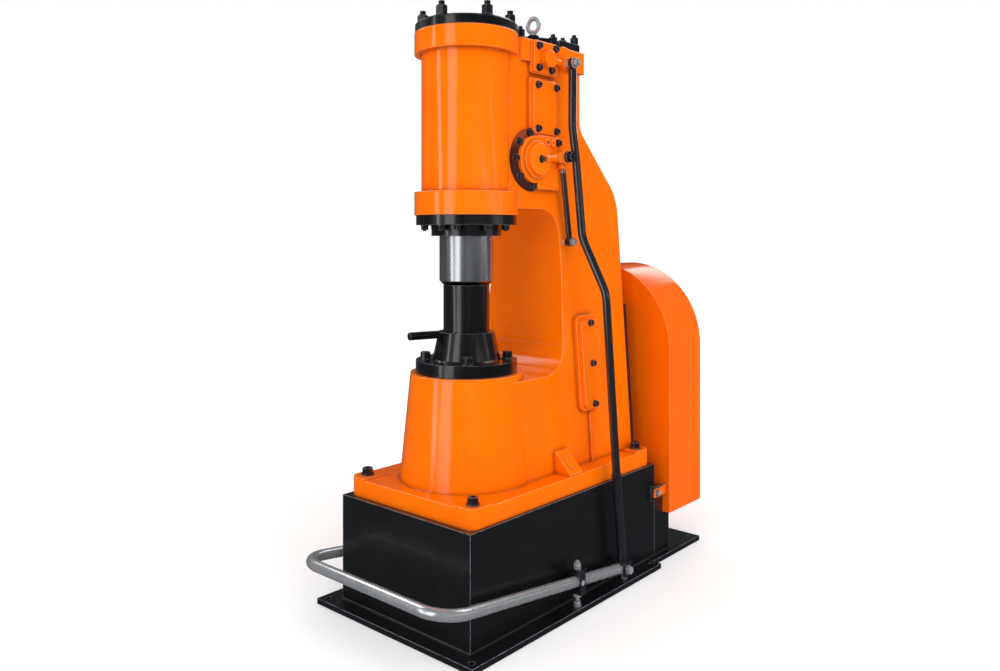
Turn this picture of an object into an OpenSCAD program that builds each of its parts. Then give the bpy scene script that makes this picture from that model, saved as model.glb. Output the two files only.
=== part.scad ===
// Self-contained forging hammer on a welded base.
// Origin on the floor under the ram axis. +Z up, -Y the operator's side, +X the linkage side.

/* [Base] */
// Thickness of the two floor plates
plate_t = 16; // [12:1:25]
// Distance from the ram axis to the front edge of the front plate
plate_front = 314; // [300:1:360]
// Distance from the ram axis to the joint between the two plates
plate_split = 600; // [560:1:640]
// Width of the rear floor plate
rear_plate_w = 574; // [550:1:620]
// Distance from the ram axis to the rear edge of the rear plate
rear_plate_end = 920; // [880:1:980]
// Inset of the anchor holes from the edges of the plates
anchor_inset = 24; // [20:1:26]
// Radius of an anchor hole
anchor_r = 9; // [6:0.5:11]
// Width of the welded base box
box_w = 524; // [516:1:540]
// Rim of the front floor plate beyond each side of the box
plate_rim = 56; // [50:1:90]
// Distance from the ram axis to the front of the box
box_front = 262; // [255:1:275]
// Distance from the ram axis to the rear of the box
box_rear = 650; // [646:1:670]
// Height of the box over the floor plate
box_h = 310; // [290:1:340]
// Wall of the box
box_wall = 10; // [6:1:12]
// Distance from the ram axis to the rear of the low rear box
rear_box_end = 746; // [735:1:800]
// Height of the low rear box over the floor plate
rear_box_h = 134; // [120:1:145]

/* [Body casting] */
// Width of the plinth
plinth_w = 504; // [490:1:514]
// Distance from the ram axis to the front of the plinth
plinth_front = 243; // [235:1:252]
// Distance from the ram axis to the rear of the plinth
plinth_rear = 640; // [636:1:645]
// Height of the plinth
plinth_h = 51; // [40:1:60]
// Corner radius of the plinth
plinth_r = 28; // [10:1:40]
// Height of the raised pads under the plinth's screws
plinth_pad_h = 4.5; // [2:0.5:8]
// Radius of the pedestal at the plinth
pedestal_r = 200; // [190:1:210]
// Radius of the pedestal at its top
pedestal_top_r = 169; // [160:1:180]
// Height of the pedestal over the plinth
pedestal_h = 315; // [280:1:340]
// Width of the column at the plinth
column_w = 380; // [360:1:390]
// Width of the upper body
upper_w = 250; // [240:1:258]
// Height over the plinth where the taper of the column ends
taper_h = 923; // [880:1:960]
// Distance from the ram axis to the rear of the column
column_rear = 620; // [612:1:630]
// Distance from the ram axis to the rear of the upper body
upper_rear = 407; // [404:1:420]
// Height over the plinth where the rear of the column starts to slant
slant_h = 859; // [840:1:880]
// Radius of the bend where the rear of the column starts to slant
slant_r = 160; // [120:5:200]
// Radius of the bend where the slant meets the upper body
upper_bend_r = 70; // [40:5:90]
// Wall of the column
column_wall = 28; // [20:1:32]
// Distance from the ram axis to the wall of the throat
throat_depth = 280; // [274:1:282]
// Corner radius of the throat
throat_r = 85; // [60:1:90]
// Drop of the throat floor below the pedestal top
throat_drop = 20; // [10:1:30]
// Height of the cylinder face over the plinth
cylinder_base_h = 785; // [760:1:800]
// Height of the ram cylinder
cylinder_h = 544; // [520:1:560]
// Outer radius of the ram cylinder
cylinder_r = 136; // [130:1:140]
// Radius of the rings at the ends of the ram cylinder
ring_r = 157; // [150:1:160]
// Height of the lower ring
low_ring_h = 69; // [60:1:80]
// Height of the upper ring
top_ring_h = 62; // [50:1:70]
// Drop of the compressor block below the ram cylinder's top
block_drop = 6; // [0:1:12]
// Height of the flange on the compressor block
block_flange_h = 68; // [50:1:80]
// Overhang of that flange at the sides
block_flange_side = 10; // [6:1:12]
// Overhang of that flange at the rear
block_flange_rear = 20; // [15:1:24]

/* [Anvil] */
// Radius of the holder's flange
holder_r = 153; // [146:1:158]
// Thickness of the holder's flange
holder_flange_h = 37; // [30:1:45]
// Radius of the holder's cone at the flange
cone_r = 103; // [98:1:106]
// Radius of the holder's cone at its top
cone_top_r = 85; // [80:1:88]
// Height of the cone
cone_h = 84; // [70:1:95]
// Radius of the lower tool post
post_r = 70; // [60:0.5:74]
// Height of the post over its holder
post_h = 141; // [120:1:145]
// Radius of the anvil bolt circle
anvil_bolt_circle = 124; // [121:1:128]
// Radius of the lock bar
lock_bar_r = 12; // [8:0.5:14]
// Distance along the lock bar from the ram axis to its outer end
lock_bar_end = 174; // [150:1:190]
// Distance along the lock bar from the ram axis to its inner end
lock_bar_in = 33; // [28:1:36]
// Sideways distance from the ram axis to the lock bar
lock_bar_side = 39; // [30:1:45]

/* [Ram and its cylinder] */
// Radius of the ram
ram_r = 82; // [76:0.5:86]
// Height of the chamfer at the ram's nose
ram_chamfer = 12; // [8:1:16]
// Radius of the ram's piston
piston_r = 97; // [92:0.5:100]
// Height of the ram's piston
piston_h = 150; // [120:1:170]
// Radius of the gland flange
gland_r = 152; // [148:1:156]
// Thickness of the gland flange
gland_flange_h = 29; // [22:1:32]
// Radius of the gland boss
gland_boss_r = 106; // [102:0.5:110]
// Height of the gland boss
gland_boss_h = 33; // [24:1:38]
// Radius of the gland bolt circle
gland_bolt_circle = 126; // [124:1:132]
// Thickness of the ram cylinder's cover
cover_h = 29; // [24:1:34]
// Radius of the cover's stud circle
cover_stud_circle = 132; // [126:1:134]
// Number of studs on the cover
cover_studs_n = 6; // [4:1:8]

/* [Compressor] */
// Distance from the ram axis to the compressor axis
compressor_y = 312; // [310:1:313]
// Radius of the compressor bore
compressor_r = 80; // [78:0.5:80]
// Height of the crankshaft over the plinth
crank_h = 334; // [330:1:340]
// Throw of the crank
crank_throw = 38; // [30:1:38]
// Length of the connecting rod between its centres
con_rod_l = 690; // [670:1:700]
// Radius of the crankshaft's journals
journal_r = 30; // [26:1:32]
// Thickness of the compressor cover
comp_cover_h = 27; // [20:1:34]

/* [Drive] */
// Distance from the ram axis to the front of the belt guard
guard_y = 708; // [700:1:720]
// Depth of the belt guard
guard_d = 217; // [210:1:240]
// Distance of the guard's sides beyond the sides of the box
guard_side = 26; // [20:1:40]
// Sheet thickness of the belt guard
guard_t = 3; // [2:0.5:4]
// Radius of the flywheel pulley
flywheel_r = 240; // [200:1:255]
// Width of the pulleys
pulley_w = 96; // [92:1:110]
// Radius of the motor pulley
motor_pulley_r = 60; // [45:1:64]
// Height of the motor shaft over the floor plate
motor_h = 219; // [215:1:224]
// Radius of the motor frame
motor_r = 76; // [60:1:78]
// Number of belts
belts_n = 4; // [2:1:5]

/* [Treadle] */
// Radius of the treadle bar
bar_r = 16; // [12:0.5:18]
// Inset of the treadle's legs from the edges of the front plate
leg_inset = 20; // [18:1:24]
// Distance from the ram axis to the treadle's front bar
treadle_front = 390; // [370:1:430]
// Centre line radius of the treadle's bends
treadle_bend = 85; // [60:1:110]
// Distance from the ram axis to the fulcrum pins
fulcrum_y = 158; // [120:1:200]
// Height of the fulcrum pins
fulcrum_z = 88; // [84:1:100]
// Distance from the ram axis to the link pin
link_pin_y = 395; // [380:1:410]
// Slope of the treadle at rest, degrees
treadle_slope = 7.45; // [6:0.05:8]
// Radius of the fulcrum and link pins
pin_r = 8; // [5:0.5:9]

/* [Valve gear] */
// Distance from the ram axis to the lower valve's axis
low_valve_y = 150; // [148:1:152]
// Height of the lower valve's axis over the cylinder face
low_valve_h = 171; // [160:1:180]
// Radius of the lower valve's spool
low_spool_r = 30; // [24:0.5:32]
// Distance from the lower valve's axis to its lever's bolt
low_lever_l = 112; // [110:1:113]
// Distance from the ram axis to the upper valve's axis
top_valve_y = 200; // [198:1:202]
// Height of the upper valve's axis over the cylinder face
top_valve_h = 483; // [478:1:486]
// Radius of the upper valve's spool
top_spool_r = 18; // [12:0.5:19]
// Distance from the upper valve's axis to its lever's stud
top_lever_l = 81; // [79:1:83]
// Radius of the long link rod
link_r = 13; // [10:0.5:14]
// Radius of the return strut's tube
strut_r = 9; // [8:0.5:10]

/* [Fits] */
// Radial clearance of running and sliding fits
run_gap = 0.05; // [0.02:0.01:0.08]
// Radial clearance of pieces that are bolted together
seat_gap = 0.1; // [0.05:0.01:0.2]
// Clearance between faces of pieces that move past each other
face_gap = 0.5; // [0.3:0.1:1]

/* [Hidden] */
plate_w = box_w + 2 * plate_rim;
guard_r = box_w / 2 + guard_side;
$fn = 96;
tiny = 0.01;
// Reach of a cut that only has to pass the surface
reach = 60;
flank_x = upper_w / 2;
box_top = plate_t + box_h;
plinth_top = box_top + plinth_h;
anvil_z = plinth_top + pedestal_h;
throat_floor_z = anvil_z - throat_drop;
holder_flange_z = anvil_z + holder_flange_h;
holder_top_z = holder_flange_z + cone_h;
post_top_z = holder_top_z + post_h;
cylinder_z = plinth_top + cylinder_base_h;
cylinder_top_z = cylinder_z + cylinder_h;
roof_z = cylinder_z + 21;
block_z = cylinder_top_z - block_drop;
taper_z = plinth_top + taper_h;
slant_z = plinth_top + slant_h;
slant_top_z = slant_z + column_rear - upper_rear;
crank_z = plinth_top + crank_h;
flank_tilt = atan((column_w - upper_w) / 2 / taper_h);

// Half width of the column at a height
function half_w(z) = flank_x + (z < taper_z ? (taper_z - z) * tan(flank_tilt) : 0);

// Cavity inside the column
cavity_z = plinth_top + 63;
cavity_top_z = cylinder_z + 53;
cavity_front_y = compressor_y - 18;
cavity_rear_y = column_rear - column_wall;
rear_opening_r = 112;

// Ram and gland
neck_r = 104;
neck_h = 53;
gland_bush_r = ram_r + 8;
ram_nose_z = post_top_z + face_gap;
piston_z = cylinder_z + neck_h + 40;
gland_z = cylinder_z - gland_flange_h - gland_boss_h;
ring_groove_h = 8;

// Compressor
comp_cover_side = flank_x + block_flange_side - 11;
comp_piston_h = 240;
comp_piston_z = cavity_top_z + 85;
comp_piston_wall = 16;
crank_pin_r = 18;
crank_pin_z = crank_z - crank_throw;
small_end_z = crank_pin_z + con_rod_l;
big_end_w = 26;
web_y = compressor_y + big_end_w / 2 + 5;
web_t = 22;
sleeve_y = web_y + web_t + 8;
bearing_r = 48;
bearing_w = 30;
shaft_r = 14;
tab_z = 216;
carrier_t = 20;
pulley_y = guard_y + 46;

// Drive
motor_z = plate_t + motor_h;
guard_z = plate_t + rear_box_h;
belt_w = 13;
belt_h = 9;
belt_pitch = pulley_w / (belts_n + 0.5);

// Treadle
link_pin_z = fulcrum_z - (link_pin_y - fulcrum_y) * tan(treadle_slope);
leg_rear = (link_pin_y - fulcrum_y) / cos(treadle_slope);
leg_front = (treadle_front + fulcrum_y) / cos(treadle_slope) - treadle_bend;
leg_x = plate_w / 2 - leg_inset;
fork_gap = bar_r + 1;
slot_half = bar_r + 4;
fulcrum_half = slot_half + 15;
fulcrum_lid_t = 4;

// Inspection opening on the flank
inspection_y = compressor_y + 71;
inspection_z = crank_z - 21;
inspection_w = 92;
inspection_h = 278;
inspection_pad = 14;

// Eye bolt
eye_x = flank_x - 24;
eye_y = 196;
eye_collar_h = 24;
eye_ring_h = 56;
eye_ring_r = 21.5;
eye_wire_r = 7;

// Lock bar
lock_bar_z = holder_top_z - 10;
lock_bar_angle = -106.9;
lock_bar_seat = 40;

// Bolt places, degrees round their circles
gland_bolt_angles = [-134.5, -82.5, -58.5, -17.5, 23.5, 63.5, 103.5, 143.5, 185.5];
cover_stud_phase = 40.5;
corner_nut_y = 289;

// Valve gear
low_valve_z = cylinder_z + low_valve_h;
top_valve_z = cylinder_z + top_valve_h;
pad_t = 12;
cover_t = 9;
face_x = flank_x + pad_t + cover_t;
low_cover_r = 72;
low_pad_y = low_valve_y + 8;
ring_seat_r = 96;
low_cover_t = cover_t + 4;
low_cover_x = flank_x + pad_t + low_cover_t;
low_disc_x = low_cover_x + 6 + face_gap;
lever_x = flank_x + 43;
lug_x = lever_x + 16 + face_gap;
lug_t = 6;
eye_half = 7;
link_eye_r = 17;
joint_swell = 2;
fork_top = 26;
low_lever_angle = 6.6;
top_lever_angle = -3.5;
low_eye = [
    low_valve_y + low_lever_l * cos(low_lever_angle),
    low_valve_z + low_lever_l * sin(low_lever_angle)
];
top_eye = [
    top_valve_y + top_lever_l * cos(top_lever_angle),
    top_valve_z + top_lever_l * sin(top_lever_angle)
];
link_x = flank_x + 65;
link_points = [
    [leg_x, link_pin_y, link_pin_z + fork_top],
    [leg_x, link_pin_y, link_pin_z + fork_top + 18],
    [leg_x - 3, link_pin_y - 28, link_pin_z + 308],
    [leg_x - 16, top_eye[0] + 49, link_pin_z + 864],
    [link_x + 12, top_eye[0] + 35, cylinder_z - 68],
    [link_x, top_eye[0] + 18, low_eye[1] - 11],
    [link_x, top_eye[0] - 2, low_eye[1] + 101],
    [link_x, top_eye[0], top_eye[1] - link_eye_r - 6]
];
strut_x = flank_x + 37;
strut_foot_drop = 81;
strut_eye_half = strut_r + 1;
strut_foot = [top_eye[0] + 22, cylinder_z - strut_foot_drop];
strut_head = [low_eye[0] + 6, low_eye[1] - 37];
strut_l = norm(strut_head - strut_foot);
strut_lean = atan((strut_foot[0] - strut_head[0]) / (strut_head[1] - strut_foot[1]));
strut_pin_r = 7;
strut_seat_x = half_w(strut_foot[1] - 11) + 0.05;

// Screws on the flank, as Y and Z, and round the lower valve
cover_screws = [
    [low_valve_y + 13, low_valve_z + 230], [low_valve_y + 104, low_valve_z + 230],
    [low_valve_y + 13, low_valve_z + 96], [low_valve_y + 104, low_valve_z + 94],
    [top_valve_y - 33, top_valve_z + 38], [top_valve_y - 33, top_valve_z - 29],
    [top_valve_y + 50, top_valve_z + 40], [top_valve_y + 28, top_valve_z - 31]
];
stop_screw = [low_valve_y + 108, low_valve_z + 58];
ring_screw_r = 84;
ring_screw_angles = [105, 143, 180, 220, 268];

// Fasteners: shank radius and across-flats size of the sizes in use
m10 = [5, 17];
m12 = [6, 19];
m16 = [8, 24];
m20 = [10, 30];

// Turns a shape drawn along +Z so that it stands on a flank, pointing to +X
module facing_x(x, y, z) {
    translate([x, y, z]) rotate([0, 90, 0]) children();
}

// Turns a shape drawn along +Z so that it lies along +Y
module along_y(x, y, z) {
    translate([x, y, z]) rotate([-90, 0, 0]) children();
}

// Places a shape on the tapered flank of the column, +X pointing outwards
module on_flank(y, z) {
    translate([half_w(z), y, z]) rotate([0, -flank_tilt, 0]) children();
}

module tube(r_out, r_in, h) {
    difference() {
        cylinder(r = r_out, h = h);
        translate([0, 0, -1]) cylinder(r = r_in, h = h + 2);
    }
}

// Straight rod between two points
module rod(a, b, r) {
    d = b - a;
    translate(a)
        rotate([0, acos(d[2] / norm(d)), atan2(d[1], d[0])])
            cylinder(r = r, h = norm(d));
}

// Flat rectangle with rounded corners, in the plane of X and Y
module rounded(x0, y0, x1, y1, r) {
    translate([x0 + r, y0]) square([x1 - x0 - 2 * r, y1 - y0]);
    translate([x0, y0 + r]) square([x1 - x0, y1 - y0 - 2 * r]);
    for (x = [x0 + r, x1 - r])
        for (y = [y0 + r, y1 - r])
            translate([x, y]) circle(r = r);
}

// Plate on a flank that spans Y and Z with rounded corners, from x0 outwards
module flank_plate(x0, t, y0, y1, z0, z1, r) {
    translate([x0, 0, 0]) rotate([90, 0, 90]) linear_extrude(t) rounded(y0, z0, y1, z1, r);
}

module hex_head(af, h) {
    cylinder(r = af / 2 / cos(30), h = h, $fn = 6);
}

// Screw with a hexagon head on a washer, its shank going down from the seat
module hex_screw(size, shank, head_h) {
    translate([0, 0, -shank]) cylinder(r = size[0], h = shank + tiny);
    cylinder(r = size[1] * 0.62, h = 3);
    translate([0, 0, 3 - tiny]) hex_head(size[1], head_h);
}

// Screw with a round head and a hexagon socket on a washer
module socket_screw(size, shank, head_h) {
    difference() {
        union() {
            translate([0, 0, -shank]) cylinder(r = size[0], h = shank + tiny);
            cylinder(r = size[0] * 1.8, h = 3);
            translate([0, 0, 3 - tiny]) cylinder(r = size[0] * 1.5, h = head_h);
        }
        translate([0, 0, 3 + head_h * 0.4]) cylinder(r = size[0] * 0.9, h = head_h, $fn = 6);
    }
}

module front_plate() color("#1c1c1e") difference() {
    translate([-plate_w / 2, -plate_front, 0])
        cube([plate_w, plate_front + plate_split, plate_t]);
    for (x = [-1, 1])
        for (y = [-plate_front + anchor_inset, plate_split - anchor_inset])
            translate([x * (plate_w / 2 - anchor_inset), y, -1])
                cylinder(r = anchor_r, h = plate_t + 2);
}

module rear_plate() color("#1c1c1e") difference() {
    translate([-rear_plate_w / 2, plate_split, 0])
        cube([rear_plate_w, rear_plate_end - plate_split, plate_t]);
    for (x = [-1, 1])
        translate([x * (rear_plate_w / 2 - anchor_inset), rear_plate_end - anchor_inset, -1])
            cylinder(r = anchor_r, h = plate_t + 2);
}

module base_box() color("#151517") difference() {
    translate([-box_w / 2, -box_front, plate_t]) cube([box_w, box_front + box_rear, box_h]);
    translate([-box_w / 2 + box_wall, -box_front + box_wall, plate_t - 1])
        cube([box_w - 2 * box_wall, box_front + box_rear - 2 * box_wall, box_h - box_wall + 1]);
    along_y(0, box_rear - box_wall - 1, motor_z) cylinder(r = 30, h = box_wall + 2);
    plinth_bolt_places() translate([0, 0, box_top - box_wall - 1]) cylinder(r = 10, h = box_wall + 2);
}

module rear_box() color("#151517") difference() {
    union() {
        translate([-box_w / 2, box_rear, plate_t]) cube([box_w, rear_box_end - box_rear, rear_box_h]);
        translate([-box_w / 2, box_rear, plate_t]) cube([box_w, guard_y - box_rear - 4, rear_box_h + 55]);
    }
    translate([-box_w / 2 + box_wall, box_rear + box_wall, plate_t - 1])
        cube([box_w - 2 * box_wall, rear_box_end - box_rear - 2 * box_wall, rear_box_h - box_wall + 1]);
    along_y(0, box_rear - 1, motor_z) cylinder(r = 60, h = rear_box_end - box_rear);
}

module plinth_bolt_places() {
    for (x = [-1, 1])
        for (y = [-plinth_front + 39, plinth_rear - 40])
            translate([x * (plinth_w / 2 - 35), y, 0]) children();
}

// Raised pads at the plinth's corners, which its screws stand on
module plinth_pads() {
    pad_w = 70;
    pad_l = 86;
    for (x = [-1, 1])
        for (y = [-plinth_front, plinth_rear - pad_l])
            intersection() {
                translate([x * (plinth_w - pad_w) / 2 - pad_w / 2, y, plinth_top - tiny])
                    cube([pad_w, pad_l, plinth_pad_h + tiny]);
                translate([0, 0, plinth_top - tiny]) linear_extrude(plinth_pad_h + tiny) plinth_plan();
            }
}

module plinth_plan() {
    rounded(-plinth_w / 2, -plinth_front, plinth_w / 2, plinth_rear, plinth_r);
}

// Side view of the column, drawn in Y and Z. Its rear slants at 45 degrees
module column_side() {
    bend = tan(22.5);
    lower = [column_rear - slant_r, slant_z - slant_r * bend];
    upper = [upper_rear + upper_bend_r, slant_top_z + upper_bend_r * bend];
    difference() {
        polygon([
            [0, box_top + 1], [column_rear, box_top + 1], [column_rear, slant_z],
            [upper_rear, slant_top_z], [upper_rear, block_z], [0, block_z]
        ]);
        difference() {
            polygon([
                lower, lower + [slant_r + 40, 0],
                lower + (slant_r + 40) / cos(22.5) * [cos(22.5), sin(22.5)],
                lower + (slant_r + 40) * [cos(45), sin(45)]
            ]);
            translate(lower) circle(r = slant_r);
        }
        throat_side();
    }
    difference() {
        polygon([
            upper, [upper_rear, upper[1]], [upper_rear - 10, slant_top_z - 10],
            upper - upper_bend_r * [cos(45), sin(45)]
        ]);
        translate(upper) circle(r = upper_bend_r);
    }
}

// Opening of the throat, drawn in Y and Z
module throat_side() {
    floor_y = throat_depth - 18;
    difference() {
        polygon([
            [-400, throat_floor_z], [floor_y, throat_floor_z], [throat_depth, throat_floor_z + 320],
            [throat_depth, roof_z], [-400, roof_z]
        ]);
        difference() {
            translate([throat_depth - throat_r, roof_z - throat_r]) square(throat_r + 1);
            translate([throat_depth - throat_r, roof_z - throat_r]) circle(r = throat_r);
        }
        difference() {
            translate([floor_y - throat_r + 4, throat_floor_z - 1]) square([throat_r + 10, throat_r + 1]);
            translate([floor_y - throat_r + 4, throat_floor_z + throat_r]) circle(r = throat_r);
        }
    }
}

// Front view of the column, drawn in X and Z
module column_front(inset, z0, z1) {
    polygon([
        for (z = [z0, taper_z, z1]) if (z <= z1) [half_w(z) - inset, z],
        for (z = [z1, taper_z, z0]) if (z <= z1) [inset - half_w(z), z]
    ]);
}

module column_block(inset, y0, y1, z0, z1) {
    translate([0, y1, 0]) rotate([90, 0, 0]) linear_extrude(y1 - y0) column_front(inset, z0, z1);
}

module body_outside() {
    translate([0, 0, box_top]) linear_extrude(plinth_h) plinth_plan();
    plinth_pads();
    translate([0, 0, plinth_top - tiny]) cylinder(r1 = pedestal_r, r2 = pedestal_top_r, h = pedestal_h);
    intersection() {
        translate([-300, 0, 0]) rotate([90, 0, 90]) linear_extrude(600) column_side();
        column_block(0, -1, column_rear + 1, box_top + 1, block_z + 1);
    }
    translate([0, 0, block_z - block_flange_h]) linear_extrude(block_flange_h)
        rounded(-flank_x - block_flange_side, 100, flank_x + block_flange_side,
            upper_rear + block_flange_rear, 12);
    // Pads under the valve covers and the boss beside the upper lever
    low_valve_pad(flank_x - 1, pad_t + 1);
    flank_plate(flank_x - 1, pad_t + 1, low_valve_y - 14, top_valve_y + 66,
        low_valve_z + 76, low_valve_z + 252, 8);
    flank_plate(flank_x - 1, pad_t + 1, top_valve_y - 60, top_valve_y + 70, top_valve_z - 47, block_z, 8);
    intersection() {
        facing_x(flank_x - 1, top_eye[0] + 17, top_eye[1] + 28) cylinder(r = 34, h = 22);
        translate([0, 0, top_eye[1] + 12]) cube([400, 500, block_z - top_eye[1] - 12]);
    }
    // Pad and rib of the inspection opening
    on_flank(inspection_y, inspection_z)
        flank_plate(-30, 30 + inspection_pad, -inspection_w / 2 - 12, inspection_w / 2 + 6,
            -inspection_h / 2 - 10, inspection_h / 2 + 16, 24);
    on_flank(inspection_y, plinth_top + 70) translate([-20, -6, -74]) cube([28, 12, 160]);
    for (x = [1, -1])
        scale([x, 1, 1]) foot_lug();
}

// Lug at the foot of the flank, with a small raised pad on its slope
module foot_lug() {
    wall = half_w(plinth_top);
    toe = plinth_w / 2 - 2;
    lug_h = 67;
    slope = atan((lug_h - 6) / (toe - wall - 4));
    translate([0, 250, 0]) rotate([90, 0, 0]) linear_extrude(62) polygon([
        [wall - 30, plinth_top - 1], [toe, plinth_top - 1], [toe, plinth_top + 6],
        [wall + 4, plinth_top + lug_h], [wall - 30, plinth_top + lug_h]
    ]);
    translate([(wall + 4 + toe) / 2, 219, plinth_top + (lug_h + 6) / 2])
        rotate([0, slope, 0]) translate([-23, -13, -4]) cube([46, 26, 6.5]);
}

// Outside of the ram cylinder with a ring at each end, widened by the gap of its seat
module cylinder_outside(grow) {
    translate([0, 0, cylinder_z]) cylinder(r = cylinder_r + grow, h = cylinder_h);
    translate([0, 0, cylinder_z]) cylinder(r = ring_r + grow, h = low_ring_h);
    translate([0, 0, cylinder_top_z - top_ring_h]) cylinder(r = ring_r + grow, h = top_ring_h);
}

// Bores of the two valves and the ports that lead to them
module valve_bores() {
    facing_x(-flank_x + 30, low_valve_y, low_valve_z)
        cylinder(r = low_spool_r + run_gap, h = upper_w);
    facing_x(0, top_valve_y, top_valve_z) cylinder(r = top_spool_r + run_gap, h = upper_w);
    along_y(0, 80, low_valve_z) cylinder(r = 12, h = compressor_y - 90);
    along_y(0, 80, top_valve_z - 8) cylinder(r = 9, h = compressor_y - 90);
}

// Square pad behind the lower valve, which its cover repeats
module low_valve_pad(x, t) {
    flank_plate(x, t, low_pad_y, low_valve_y + 118, low_valve_z - 90, low_valve_z + 75, 8);
}

module body_casting() color("#ff7a00") difference() {
    body_outside();
    // Flat seat of the ring round the lower valve
    intersection() {
        facing_x(flank_x, low_valve_y, low_valve_z) cylinder(r = ring_seat_r + 1, h = 20);
        translate([flank_x, 0, 0]) cube([20, low_pad_y, block_z]);
    }
    // Seat of the ram cylinder
    cylinder_outside(seat_gap);
    // Bore of the compressor
    translate([0, compressor_y, cavity_top_z - 1]) cylinder(r = compressor_r + run_gap, h = block_z);
    // Crank cavity, its rear opening and the inspection window
    column_block(column_wall, cavity_front_y, cavity_rear_y, cavity_z, cavity_top_z);
    along_y(0, cavity_rear_y - 1, crank_z) cylinder(r = rear_opening_r, h = column_wall + 2);
    translate([60, inspection_y - 28, inspection_z - 110]) cube([200, 56, 220]);
    valve_bores();
    // Bolt holes
    plinth_bolt_places() translate([0, 0, box_top - 1]) cylinder(r = m20[0] + seat_gap, h = plinth_h + reach);
    anvil_bolt_places() translate([0, 0, anvil_z - 50]) cylinder(r = m20[0] + seat_gap, h = reach);
    comp_nut_places() translate([0, 0, block_z - 30]) cylinder(r = m16[0] + seat_gap, h = 50);
    corner_nut_places() translate([0, 0, block_z - 30]) cylinder(r = m16[0] + seat_gap, h = 50);
    facing_x(0, strut_foot[0], strut_foot[1])
        translate([0, 0, half_w(strut_foot[1]) - 22]) cylinder(r = strut_pin_r + seat_gap, h = 60);
    on_flank(0, inspection_z) inspection_screw_places()
        translate([-14, 0, 0]) rotate([0, 90, 0]) cylinder(r = m10[0] + seat_gap, h = 40);
    side_screw_holes();
    translate([eye_x, eye_y, block_z - 26]) cylinder(r = 8 + seat_gap, h = 40);
}

module ram_cylinder() color("#ff7a00") difference() {
    cylinder_outside(0);
    translate([0, 0, cylinder_z + neck_h]) cylinder(r = piston_r + run_gap, h = cylinder_h);
    translate([0, 0, cylinder_z - 1]) cylinder(r = neck_r + seat_gap, h = neck_h + 2);
    valve_bores();
    side_screw_holes();
    gland_bolt_places() translate([0, 0, cylinder_z - 1]) cylinder(r = m12[0] + seat_gap, h = 34);
    cover_stud_places() translate([0, 0, cylinder_top_z - 45])
        cylinder(r = m20[0] + seat_gap, h = reach);
}

module inspection_screw_places() {
    for (z = [-1, 0, 1])
        translate([0, inspection_y, z * (inspection_h / 2 - 10)]) children();
}

module base_bolts() color("#222226") plinth_bolt_places()
    translate([0, 0, plinth_top + plinth_pad_h])
        socket_screw(m20, plinth_h + plinth_pad_h + box_wall, 18);

module anvil_bolt_places() {
    for (a = [45 : 90 : 315])
        rotate([0, 0, a]) translate([anvil_bolt_circle, 0, 0]) children();
}

// Places a shape drawn along +Z on the lock bar's line, at a distance along it
module lock_bar_place(t) {
    rotate([0, 0, lock_bar_angle]) translate([t, -lock_bar_side, lock_bar_z]) rotate([0, 90, 0]) children();
}

module anvil_holder() color("#1d1d20") difference() {
    union() {
        translate([0, 0, anvil_z]) cylinder(r = holder_r, h = holder_flange_h);
        translate([0, 0, holder_flange_z - tiny]) cylinder(r1 = cone_r, r2 = cone_top_r, h = cone_h);
        translate([0, 0, holder_flange_z - tiny]) cylinder(r1 = cone_r + 3, r2 = cone_r - 1, h = 4);
    }
    translate([0, 0, anvil_z + 12]) cylinder(r = post_r + seat_gap, h = holder_top_z);
    anvil_bolt_places() translate([0, 0, anvil_z - 1]) cylinder(r = m20[0] + seat_gap, h = reach);
    lock_bar_place(lock_bar_seat) cylinder(r = lock_bar_r + run_gap, h = cone_r);
}

module anvil_bolts() color("#222226") anvil_bolt_places()
    translate([0, 0, holder_flange_z]) socket_screw(m20, holder_flange_h + 45, 20);

module tool_post() color("#1a1a1c") difference() {
    translate([0, 0, anvil_z + 12 + seat_gap])
        cylinder(r = post_r, h = post_top_z - anvil_z - 12 - seat_gap);
    lock_bar_place(-lock_bar_in - 3) cylinder(r = lock_bar_r + 1, h = post_r + lock_bar_in);
}

module lock_bar() color("#232326") {
    lock_bar_place(-lock_bar_in) cylinder(r = lock_bar_r, h = lock_bar_in + lock_bar_end - 2);
    lock_bar_place(lock_bar_end - 2 - tiny) cylinder(r1 = lock_bar_r, r2 = lock_bar_r - 2, h = 2);
}

module gland() color("#19191b") difference() {
    union() {
        translate([0, 0, cylinder_z - gland_flange_h]) cylinder(r = gland_r, h = gland_flange_h);
        translate([0, 0, gland_z]) cylinder(r = gland_boss_r, h = gland_boss_h + 1);
        translate([0, 0, cylinder_z - 1]) cylinder(r = neck_r, h = neck_h - 6);
    }
    translate([0, 0, gland_z - 1]) cylinder(r = gland_bush_r + seat_gap, h = 200);
    gland_bolt_places() translate([0, 0, gland_z - 1]) cylinder(r = m12[0] + seat_gap, h = 200);
}

module gland_bush() color("#b08d57")
    translate([0, 0, gland_z + 8]) tube(gland_bush_r, ram_r + run_gap, cylinder_z + neck_h - 20 - gland_z);

// Wiper ring of the gland and gasket under the cover of the ram cylinder
module seals() color("#2b2b2b") {
    translate([0, 0, gland_z]) tube(gland_bush_r, ram_r + run_gap, 8);
    difference() {
        translate([0, 0, cylinder_top_z]) tube(ring_r - 4, piston_r + 1, 2);
        cover_stud_places() translate([0, 0, cylinder_top_z - 1])
            cylinder(r = m20[0] + seat_gap, h = reach);
    }
}

module gland_bolt_places() {
    for (a = gland_bolt_angles)
        rotate([0, 0, a]) translate([gland_bolt_circle, 0, 0]) children();
}

module gland_bolts() color("#2a2a2e") gland_bolt_places()
    translate([0, 0, cylinder_z - gland_flange_h]) mirror([0, 0, 1]) hex_screw(m12, gland_flange_h + 30, 12);

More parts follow.
